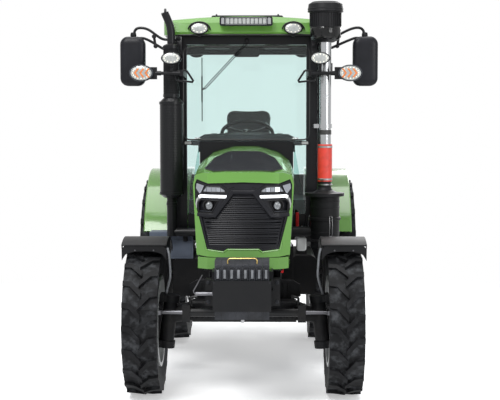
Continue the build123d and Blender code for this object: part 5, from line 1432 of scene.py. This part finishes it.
class TRACTOR_OT_front_axle(bpy.types.Operator):
    """Fit the axle's elbows and bolts and the mudguards' lips, skirts and stays"""

    bl_idname = "tractor.front_axle"
    bl_label = "Front axle"

    def execute(self, context):
        size = context.scene.tractor_parts.bolt
        axle = skin("front_axle", "front_support", "steer_cylinder")
        elbows = Piece("steering_elbows", "black_enamel")
        bolts = Piece("axle_bolts", "casting")
        wings = Piece("axle_support_wings", "casting")
        for side in (1, -1):
            place = facing_front(0, -0.985, 0)
            wings.prism(on_side(side, SUPPORT_WING), place, 0.022, 0.0, 0.003)
            for x in (0.235, 0.275, 0.315):
                rib = oblong(side * x - 0.005, 0.67, side * x + 0.005, 0.79)
                wings.prism(rib, place, 0.010, 0.022, 0.002)
            spot, _ = meet(axle, (side * 0.38, -1.23, 1.5), (0, 0, -1))
            rise = Vector((0, 0, 0.045))
            elbows.lathe(((0.016, 0), (0.016, 0.016), (0.011, 0.018), (0.011, 0.03)),
                         upright(*spot), 6)
            bend = (spot + rise * 0.5, spot + rise,
                    spot + rise * 1.2 + Vector((-side * 0.035, 0, 0)))
            elbows.tube(curve(bend, 5), 0.009, 10)
            end = facing(spot + rise * 1.2 + Vector((-side * 0.03, 0, 0)), (-side, 0, 0))
            elbows.lathe(((0.014, 0), (0.014, 0.018)), end, 6)
            for x in (0.25, 0.29, 0.33):
                spot, _ = meet(axle, (side * x, -1.6, 0.56), (0, 1, 0))
                bolts.bolt(spot, FORWARDS, size * 0.8)
        wings.done()
        elbows.done(smooth=50)
        bolts.done()
        for label, side in SIDES:
            self.mudguard(label, side, size)
        return {"FINISHED"}

    def mudguard(self, label, side, size):
        body = f"knuckle_{label}"
        lip = Piece(f"mudguard_lip_{label}", "black_plastic", body)
        front = Vector((0, -cos(radians(20)), -sin(radians(20))))
        right = Vector((side, 0, 0))
        columns = 24
        rows = []
        for shift in (0.0, -0.005):
            top, low = [], []
            for k in range(columns + 1):
                share = k / columns
                x = 0.541 + 0.313 * share
                reach = abs(share * 2 - 1)
                drop = 0.044 + 0.040 * reach ** 3
                at = about_hub(side, x, 0.6045 - 0.028 * max(0.0, reach - 0.82) / 0.18,
                               -20) + front * (0.001 - shift)
                top.append(at)
                low.append(at + Vector((0, 0.006, -drop)))
            rows.append(top + low[::-1])
        lip.rings(rows)
        corner = about_hub(side, 0.541, 0.604, -20) + front * 0.004
        lip.tube([corner + right * (0.313 * k / 20) for k in range(21)], 0.007, 8)
        # skirt beside the tyre's inner wall
        arc = [-20 + 3 * k for k in range(11)]
        skirt = []
        for x in (0.5405, 0.5445):
            outer = [about_hub(side, x, 0.599, a) for a in arc]
            inner = [about_hub(side, x, 0.455 + 0.06 * abs(k - 4) / 6, a) for k,
                     a in enumerate(arc)]
            skirt.append(outer + inner[::-1])
        lip.rings(skirt)
        lip.done(0.001, smooth=50)
        fasteners = Piece(f"mudguard_bolts_{label}", "dark_steel", body)
        for x in (0.63, 0.76):
            fasteners.bolt(about_hub(side, x, 0.568, -20) + front * 0.010, front, size * 0.6)
        for angle in (18, 26):
            for x in (0.60, 0.66):
                at = about_hub(side, x, 0.6052, angle)
                fasteners.bolt(at, at - Vector((at.x, *FRONT_HUB)), size * 0.8)
        fasteners.done()
        stay = Piece(f"mudguard_stay_{label}", "pale_casting", body)
        stay.tube(curve((
            (side * 0.534, -1.292, 1.070), (side * 0.522, -1.285, 1.010),
            (side * 0.516, -1.270, 0.880),
            (side * 0.530, -1.240, 0.815), (side * 0.552, -1.170, 0.745),
            (side * 0.556, -1.105, 0.716),
        ), 6), 0.0085, 10)
        stay.done(smooth=60)


# ---------------------------------------------------------------- underbody
SHIELD = ((0.212, 0.60), (0.330, 0.60), (0.362, 0.66), (0.362, 1.005), (0.345, 1.025),
          (0.212, 1.025))
STRAP_SECTION = ((-0.018, -0.003), (0.018, -0.003), (0.018, 0.0), (-0.018, 0.0))
FLARE = ((0.745, 0.8005), (0.745, 0.8088), (0.860, 0.8088), (0.868, 0.802), (0.868, 0.776),
         (0.862, 0.776), (0.862, 0.8005))


class TRACTOR_OT_underbody(bpy.types.Operator):
    """Fill the engine's sides and finish the tank, boxes and steps"""

    bl_idname = "tractor.underbody"
    bl_label = "Underbody"

    def execute(self, context):
        shields = Piece("splash_shields", "black_plastic")
        sides = Piece("engine_accessories", "casting")
        for side in (1, -1):
            place = facing_front(0, -0.470, 0)
            shields.prism(on_side(side, SHIELD), place, 0.008, 0.0, 0.002)
            for k in range(5):
                z = 0.66 + k * 0.075
                rib = oblong(side * 0.285 - 0.055, z, side * 0.285 + 0.055, z + 0.012)
                shields.prism(rib, place, 0.005, 0.008, 0.002)
            # engine's filters, pump and starter beside the block
            for x, y, z, radius, length in (
                (0.238, -0.86, 0.80, 0.028, 0.15), (0.238, -0.78, 0.80, 0.028, 0.15),
                (0.240, -0.62, 0.70, 0.030, 0.12),
            ):
                sides.lathe((
                    (radius * 0.8, 0), (radius, 0.006), (radius, length * 0.7),
                    (radius * 1.08, length * 0.72),
                    (radius * 1.08, length * 0.86), (radius * 0.6, length),
                ), upright(side * x, y, z), 28)
            sides.tube(((side * 0.236, -0.905, 0.72), (side * 0.236, -0.56, 0.72)), 0.016, 16)
            near, far = sorted((side * 0.211, side * 0.255))
            sides.block((near, -0.74, 0.865), (far, -0.50, 0.915), 0.006)
        shields.done()
        sides.done(smooth=50)
        bottle = Piece("coolant_bottle", "white_plastic")
        bottle.prism(rounded(0.075, 0.105, 0.02, centre=(0.425, 1.012)), facing_front(0, -0.43, 0),
                     0.05, 0.0, 0.008)
        bottle.done()
        cap = Piece("coolant_cap", "black_plastic")
        cap.lathe(((0.017, 0), (0.017, 0.016), (0.014, 0.019)), upright(0.425, -0.455, 1.063), 20)
        cap.block((0.385, -0.430, 0.93), (0.465, -0.420, 1.05), 0.002)
        cap.done()
        red = Piece("red_markers", "red_plastic")
        red.prism(rounded(0.024, 0.11, 0.008, centre=(0.395, 1.195)), facing_front(0, -0.375, 0),
                  0.018, 0.0, 0.004)
        red.prism(rounded(0.020, 0.055, 0.006, centre=(0.265, 0.925)), facing_front(0, -1.292, 0),
                  0.014, 0.0, 0.003)
        red.done()
        strut = Piece("hood_strut", "steel")
        strut.tube(((0.372, -0.41, 1.04), (0.432, -0.41, 1.145)), 0.006, 10)
        strut.done(smooth=60)
        self.boxes()
        return {"FINISHED"}

    def boxes(self):
        """Battery box, tank straps, step grips and the rear mudguards' edges."""
        lid = Piece("battery_lid", "box_plastic")
        lid.block((-0.748, -0.409, 1.062), (-0.407, -0.262, 1.099), 0.005)
        lid.ring(rounded(0.30, 0.13, 0.02, centre=(-0.577, 0.975)), 0.008,
                 facing_front(0, -0.405, 0), 0.004)
        lid.done(0.001)
        latch = Piece("battery_latch", "black_plastic")
        place = facing_front(0, -0.409, 0)
        latch.prism(rounded(0.034, 0.052, 0.006, centre=(-0.470, 1.050)), place, 0.010, 0.0, 0.003)
        latch.prism(rounded(0.024, 0.020, 0.004, centre=(-0.470, 1.038)), place, 0.006, 0.010,
                    0.002)
        latch.done()
        straps = Piece("tank_straps", "black_enamel")
        tree = skin("fuel_tank")
        for side, from_x, to_x in ((1, 0.40, 0.53), (-1, 0.34, 0.56)):
            for y in (-0.26, 0.14):
                under = [meet(tree, (side * x, y, 0.2), (0, 0, 1))[0] for x in (from_x,
                                                                                to_x - 0.05)]
                beside = [meet(tree, (side * 0.75, y, z), (-side, 0, 0))[0] for z in (0.67, 0.75,
                                                                                      0.84)]
                straps.rings([
                    [p + Vector((side * out, dy, dz)) for dy, dz in STRAP_SECTION]
                    for line, out in ((under, 0.0005), (beside, 0.0035)) for p in line
                ])
        straps.done()
        treads = Piece("step_grips", "steel")
        steps = skin("steps")
        for side in (1, -1):
            for k in range(7):
                y = -0.01 + k * 0.04
                for x in (0.70, 0.75):
                    met = cast(steps, (side * x, y, 1.6), (0, 0, -1))
                    if met:
                        x_at, _, z = met[0]
                        treads.block((x_at - 0.016, y - 0.003, z),
                                     (x_at + 0.016, y + 0.003, z + 0.004), 0.001)
        treads.done()
        flare = Piece("rear_mudguard_flares", "enamel")
        edging = Piece("rear_mudguard_edging", "black_hose")
        y, z = REAR_HUB
        for side in (1, -1):
            rings, edge = [], []
            for k in range(65):
                turn = radians(23 + 134 * k / 64)
                rings.append([(side * x, y + r * cos(turn), z + r * sin(turn)) for x, r in FLARE])
                edge.append((side * 0.865, y + 0.775 * cos(turn), z + 0.775 * sin(turn)))
            flare.rings(rings)
            edging.tube(edge, 0.0045, 8)
        flare.done(smooth=40)
        edging.done(smooth=60)


# ---------------------------------------------------------------- cab
WHEEL_PLANE = place_at((0.0, 0.11, 1.85), (1, 0, 0), (0, cos(radians(30)), -sin(radians(30))))


class TRACTOR_OT_cab(bpy.types.Operator):
    """Fit the cab's wiper, seals, handles, levers, dash hood, seat and lower panes darkened with
    painted shade
    """

    bl_idname = "tractor.cab"
    bl_label = "Cab"

    def execute(self, context):
        panes = nodes["cab_glass"]
        # the lower corner panes take the darker copy of the glass, painted shade
        panes.data.materials.append(FINISHES["corner_window_shade"])
        for face in panes.data.polygons:
            if face.center.y < 0.3 and face.center.z < 1.8:
                face.material_index = len(panes.data.materials) - 1
        wiper = Piece("wiper", "gloss_plastic")
        pivot = facing_front(0.003, SCREEN_Y, 2.575)
        wiper.lathe(((0.018, 0), (0.018, 0.016), (0.013, 0.021), (0.0, 0.023)), pivot, 24)
        for shift in (0.0, 0.018):
            wiper.tube(((0.003 + shift, SCREEN_Y - 0.014, 2.568),
                        (-0.340 + shift, SCREEN_Y - 0.012, 2.200)), 0.0032, 8)
        wiper.tube(((-0.345, SCREEN_Y - 0.012, 2.197), (-0.318, SCREEN_Y - 0.012, 2.205)), 0.004, 8)
        wiper.block((-0.350, SCREEN_Y - 0.010, 1.950), (-0.343, SCREEN_Y - 0.001, 2.445), 0.001)
        wiper.block((-0.352, SCREEN_Y - 0.015, 2.10), (-0.341, SCREEN_Y - 0.009, 2.30), 0.001)
        wiper.done()
        dash = Piece("dash_hood", "grey_plastic")
        profile = ((-0.205, 1.735), (-0.205, 1.832), (-0.170, 1.853), (-0.070, 1.852),
                   (-0.036, 1.828), (-0.036, 1.735))
        dash.rings([[(x, y, z - drop) for y, z in profile] for x,
                    drop in ((-0.38, 0.03), (-0.33, 0.004), (-0.2, 0.0), (0.2, 0.0), (0.33, 0.004),
                             (0.38, 0.03))])
        for k in range(9):
            dash.block((-0.28 + k * 0.065, -0.160, 1.852), (-0.235 + k * 0.065, -0.150, 1.856),
                       0.001)
        dash.done(0.004)
        rail = Piece("screen_rail", "chrome")
        for side in (1, -1):
            place = place_at((side * 0.405, -0.258, 1.816), (0, 0, 1), (0, side, 0))
            rail.lathe(((0.008, 0), (0.008, 0.040), (0.006, 0.044)), place, 16)
        rail.done()
        seal = Piece("screen_seals", "black_hose")
        place = facing_front(0, SCREEN_Y + 0.001, 2.168)
        seal.tube([place @ Vector((*p, 0)) for p in rounded(0.985, 0.722, 0.05)], 0.006, 6, True)
        seal.done(smooth=60)
        inner = Piece("inner_mirror", "black_plastic")
        inner.prism(rounded(0.20, 0.07, 0.02), facing_front(0.0, -0.13, 2.49), 0.018, 0.0, 0.004)
        inner.tube(((0.0, -0.125, 2.50), (0.0, -0.165, 2.545)), 0.006, 10)
        inner.block((-0.33, -0.17, 2.520), (-0.14, -0.08, 2.545), 0.006)
        inner.block((0.14, -0.17, 2.520), (0.33, -0.08, 2.545), 0.006)
        inner.done()
        levers = Piece("levers", "black_plastic")
        for x, y, lean in ((0.26, 0.42, 0.03), (0.32, 0.48, 0.0), (0.37, 0.52, -0.02),
                           (-0.33, 0.46, 0.0)):
            levers.tube(curve(((x, y, 1.32), (x, y - 0.02, 1.50), (x + lean, y - 0.05, 1.62))),
                        0.007, 10)
            levers.lathe(((0.012, 0), (0.019, 0.012), (0.021, 0.030), (0.014, 0.046), (0.0, 0.050)),
                         upright(x + lean, y - 0.05, 1.61), 20)
        levers.done(smooth=50)
        self.doors()
        self.roof()
        self.wheel()
        self.mirror_arms()
        self.seat()
        return {"FINISHED"}

    def doors(self):
        for label, side in SIDES:
            tree = skin(f"door_{label}")
            handle = Piece(f"door_handle_{label}", "gloss_plastic", f"door_{label}")
            spot, _ = meet(tree, (side * 1.3, -0.172, 1.62), (-side, 0, 0))
            place = facing(spot, (side, 0, 0))
            handle.prism(rounded(0.038, 0.15, 0.012), place, 0.012, 0.0, 0.003)
            bow = ((0.055, 0.010), (0.045, 0.034), (-0.045, 0.034), (-0.055, 0.010))
            handle.tube(curve([place @ Vector((0, *p)) for p in bow]), 0.008, 10)
            handle.lathe(((0.009, 0.012), (0.009, 0.020), (0.0, 0.020)),
                         place @ upright(0, -0.066, 0), 16)
            # bow handle on the door's inner side
            spot, _ = meet(tree, (side * 0.2, -0.183, 2.16), (side, 0, 0))
            low, _ = meet(tree, (side * 0.2, -0.183, 2.03), (side, 0, 0))
            away = Vector((-side * 0.075, 0.03, 0))
            drop = Vector((0, 0, 0.02))
            handle.tube(curve((
                spot, spot + away * 0.9, spot + away - drop, low + away + drop, low + away * 0.9,
                low,
            )), 0.009, 10)
            handle.done(smooth=50)

    def roof(self):
        rails = Piece("hatch_rails", "black_enamel")
        tree = skin("roof_hatch", "roof")
        for side in (1, -1):
            line = []
            for k in range(12):
                y = 0.16 + k * 0.055
                line.append(meet(tree, (side * 0.25, y, 3.2),
                                 (0, 0, -1))[0] + Vector((0, 0, 0.006)))
            rails.tube(line, 0.007, 8)
        rails.done(smooth=60)
        drip = Piece("roof_lip", "black_hose")
        drip.tube([(-0.60, -0.335, 2.6145), (-0.3, -0.350, 2.6145), (0.3, -0.350, 2.6145),
                   (0.60, -0.335, 2.6145)], 0.006, 8)
        drip.done(smooth=60)

    def wheel(self):
        grip = Piece("steering_wheel_rim", "gloss_plastic", "steering_wheel")
        spokes = Piece("steering_wheel_spokes", "steel", "steering_wheel")
        section = [(0.205 + x, z) for x, z in ellipse(0.0145, 0.0145, 14)]
        grip.lathe(section, WHEEL_PLANE, 72, True)
        grip.lathe(((0.050, -0.012), (0.052, 0.010), (0.044, 0.018), (0.0, 0.021)), WHEEL_PLANE, 40)
        grip.lathe(((0.022, -0.032), (0.024, -0.012)), WHEEL_PLANE, 24)
        for turn in (90, 210, 330):
            spin = WHEEL_PLANE @ Matrix.Rotation(radians(turn), 4, "Z")
            outline = [(0.040, -0.024), (0.10, -0.016), (0.200, -0.022), (0.200, 0.022),
                       (0.10, 0.016), (0.040, 0.024)]
            spokes.prism(outline, spin, 0.006, -0.003, 0.001)
        made = grip.done(smooth=50)
        spokes.done()
        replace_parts(made, "steering_wheel")

    def mirror_arms(self):
        arms = Piece("mirror_arms", "black_enamel")
        for side, reach in MIRRORS:
            for path in (
                ((0.520, 2.572), (0.600, 2.577), (0.660, 2.590), (reach - 0.12, 2.655),
                 (reach - 0.05, 2.668), (reach - 0.015, 2.645), (reach - 0.01, 2.59)),
                ((0.520, 2.487), (0.590, 2.496), (0.640, 2.508), (reach - 0.12, 2.575),
                 (reach - 0.06, 2.590), (reach - 0.01, 2.57)),
            ):
                arms.tube(curve([(side * x, -0.33, z) for x, z in path], 6), 0.0105, 12)
            arms.block((side * 0.520 - 0.023, -0.344, 2.455),
                       (side * 0.520 + 0.023, -0.2505, 2.605), 0.004)
            arms.prism(MIRROR_OUTLINE, facing_front(side * reach, -0.30, 2.411), 0.06)
        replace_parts(arms.done(smooth=50), "mirrors")

    def seat(self):
        """Cushions swell under their cover, then get piping and the armrests' pads."""
        made = []
        for name, low, high, corner, cap in (
            ("seat_pad", (-0.218, 0.472, 1.458), (0.218, 0.912, 1.552), 0.05, 0.012),
            ("seat_back", (-0.198, 0.848, 1.592), (0.198, 0.926, 2.048), 0.06, 0.012),
        ):
            pad = Piece(name, "cloth", "chassis")
            mid = [(a + b) / 2 for a, b in zip(low, high)]
            if name == "seat_pad":
                place = upright(mid[0], mid[1], low[2])
                pad.prism(rounded(high[0] - low[0], high[1] - low[1], corner), place,
                          high[2] - low[2], 0.0, 0.012)
            else:
                place = place_at((mid[0], high[1], mid[2]), (1, 0, 0), (0, 0, 1))
                pad.prism(rounded(high[0] - low[0], high[2] - low[2], corner), place,
                          high[1] - low[1], 0.0, 0.012)
            obj = pad.done()
            swell(obj, cap)
            made.append(obj)
        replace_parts(made[0], "seat_cushions")
        piping = Piece("seat_piping", "trim_cloth")
        for x in (-0.10, 0.10):
            piping.tube([(x, 0.50 + k * 0.02, 1.5605) for k in range(19)], 0.003, 6)
            piping.tube([(x, 0.8405, 1.64 + k * 0.02) for k in range(19)], 0.003, 6)
        piping.done(smooth=60)
        rests = Piece("armrests", "black_plastic")
        for side in (1, -1):
            rests.prism(rounded(0.05, 0.30, 0.02, centre=(side * 0.255, 0.74)),
                        upright(0, 0, 1.690), 0.035, 0.0, 0.01)
            rests.tube(((side * 0.245, 0.875, 1.69), (side * 0.23, 0.935, 1.66)), 0.012, 10)
        rests.done(smooth=50)


VOXEL = 0.006
CUSHION_PRESSURE = 4.0
CLOTH_FRAMES = 20


def swell(obj, cap):
    """Let a cushion swell by cloth pressure, no point further than cap."""
    mod = obj.modifiers.new("skin", "REMESH")
    mod.mode = "VOXEL"
    mod.voxel_size = VOXEL
    bpy.context.view_layer.objects.active = obj
    obj.select_set(True)
    bpy.ops.object.modifier_apply(modifier="skin")
    start = [v.co.copy() for v in obj.data.vertices]
    mod = obj.modifiers.new("air", "CLOTH")
    mod.settings.use_pressure = True
    mod.settings.uniform_pressure_force = CUSHION_PRESSURE
    mod.settings.effector_weights.gravity = 0.0
    scene = bpy.context.scene
    for step in range(1, CLOTH_FRAMES + 1):
        scene.frame_set(step)
    bpy.ops.object.modifier_apply(modifier="air")
    scene.frame_set(1)
    for vertex, at in zip(obj.data.vertices, start):
        move = vertex.co - at
        if move.length > cap:
            vertex.co = at + move * (cap / move.length)
    mod = obj.modifiers.new("fine", "SUBSURF")
    mod.levels = 1
    mod.render_levels = 1
    obj.select_set(False)


# ---------------------------------------------------------------- hitch
class TRACTOR_OT_hitch(bpy.types.Operator):
    """Fit pins, splines and bolts at the rear"""

    bl_idname = "tractor.hitch"
    bl_label = "Hitch"

    def execute(self, context):
        size = context.scene.tractor_parts.bolt
        spline = Piece("pto_splines", "steel", "pto_shaft")
        for k in range(6):
            turn = Matrix.Rotation(2 * pi * k / 6, 4, "Z")
            place = place_at((0, 1.40, 0.65), (1, 0, 0), (0, 0, 1)) @ Matrix.Rotation(pi, 4, "Y")
            spline.prism(oblong(-0.004, 0.015, 0.004, 0.0172), place @ turn, 0.088, 0.0, 0.001)
        spline.done()
        bolts = Piece("axle_housing_bolts", "casting")
        tree = skin("rear_axle", "gearbox")
        for side in (1, -1):
            for k in range(8):
                start = (side * (0.19 + 0.05 * (k % 4)), 2.0, 0.62 + 0.18 * (k // 4))
                met = cast(tree, start, FORWARDS)
                if met:
                    bolts.bolt(*met, size)
        bolts.done()
        pins = Piece("link_pins", "steel", "lower_links")
        for side in (1, -1):
            ends = [v.co for v in nodes["lower_links"].data.vertices
                    if v.co.y > 1.95 and v.co.x * side > 0]
            spot = sum(ends, Vector()) / len(ends)
            spot.x = side * max(abs(v.x) for v in ends)
            pins.lathe(((0.010, 0), (0.012, 0.003), (0.012, 0.008), (0.009, 0.011)),
                       facing(spot, (side, 0, 0)), 20)
        pins.done()
        return {"FINISHED"}


# ---------------------------------------------------------------- panel and run
STEPS = (
    TRACTOR_OT_finishes, TRACTOR_OT_nose, TRACTOR_OT_weights, TRACTOR_OT_stacks, TRACTOR_OT_lamps,
    TRACTOR_OT_mirrors, TRACTOR_OT_wheels, TRACTOR_OT_front_axle, TRACTOR_OT_underbody,
    TRACTOR_OT_cab,
    TRACTOR_OT_hitch, TRACTOR_OT_stage,
)


class TRACTOR_PT_panel(bpy.types.Panel):
    """Steps that dress the machine, in order"""

    bl_idname = "TRACTOR_PT_panel"
    bl_label = "Tractor"
    bl_space_type = "VIEW_3D"
    bl_region_type = "UI"
    bl_category = "Tractor"

    def draw(self, context):
        for step in STEPS:
            self.layout.operator(step.bl_idname)


GROUPS = (
    ("tractor_finish", TractorFinish), ("tractor_stage", TractorStage),
    ("tractor_parts", TractorSmallParts),
)


def register():
    for name, group in GROUPS:
        bpy.utils.register_class(group)
        setattr(bpy.types.Scene, name, PointerProperty(type=group))
    for step in (*STEPS, TRACTOR_PT_panel):
        bpy.utils.register_class(step)


def unregister():
    for step in reversed((*STEPS, TRACTOR_PT_panel)):
        bpy.utils.unregister_class(step)
    for name, group in reversed(GROUPS):
        delattr(bpy.types.Scene, name)
        bpy.utils.unregister_class(group)


def main():
    register()
    for step in STEPS:
        group, name = step.bl_idname.split(".")
        result = getattr(getattr(bpy.ops, group), name)()
        if result != {"FINISHED"}:
            raise RuntimeError(f"{step.bl_label} did not finish")
    bpy.context.view_layer.update()


if __name__ == "__main__":
    main()
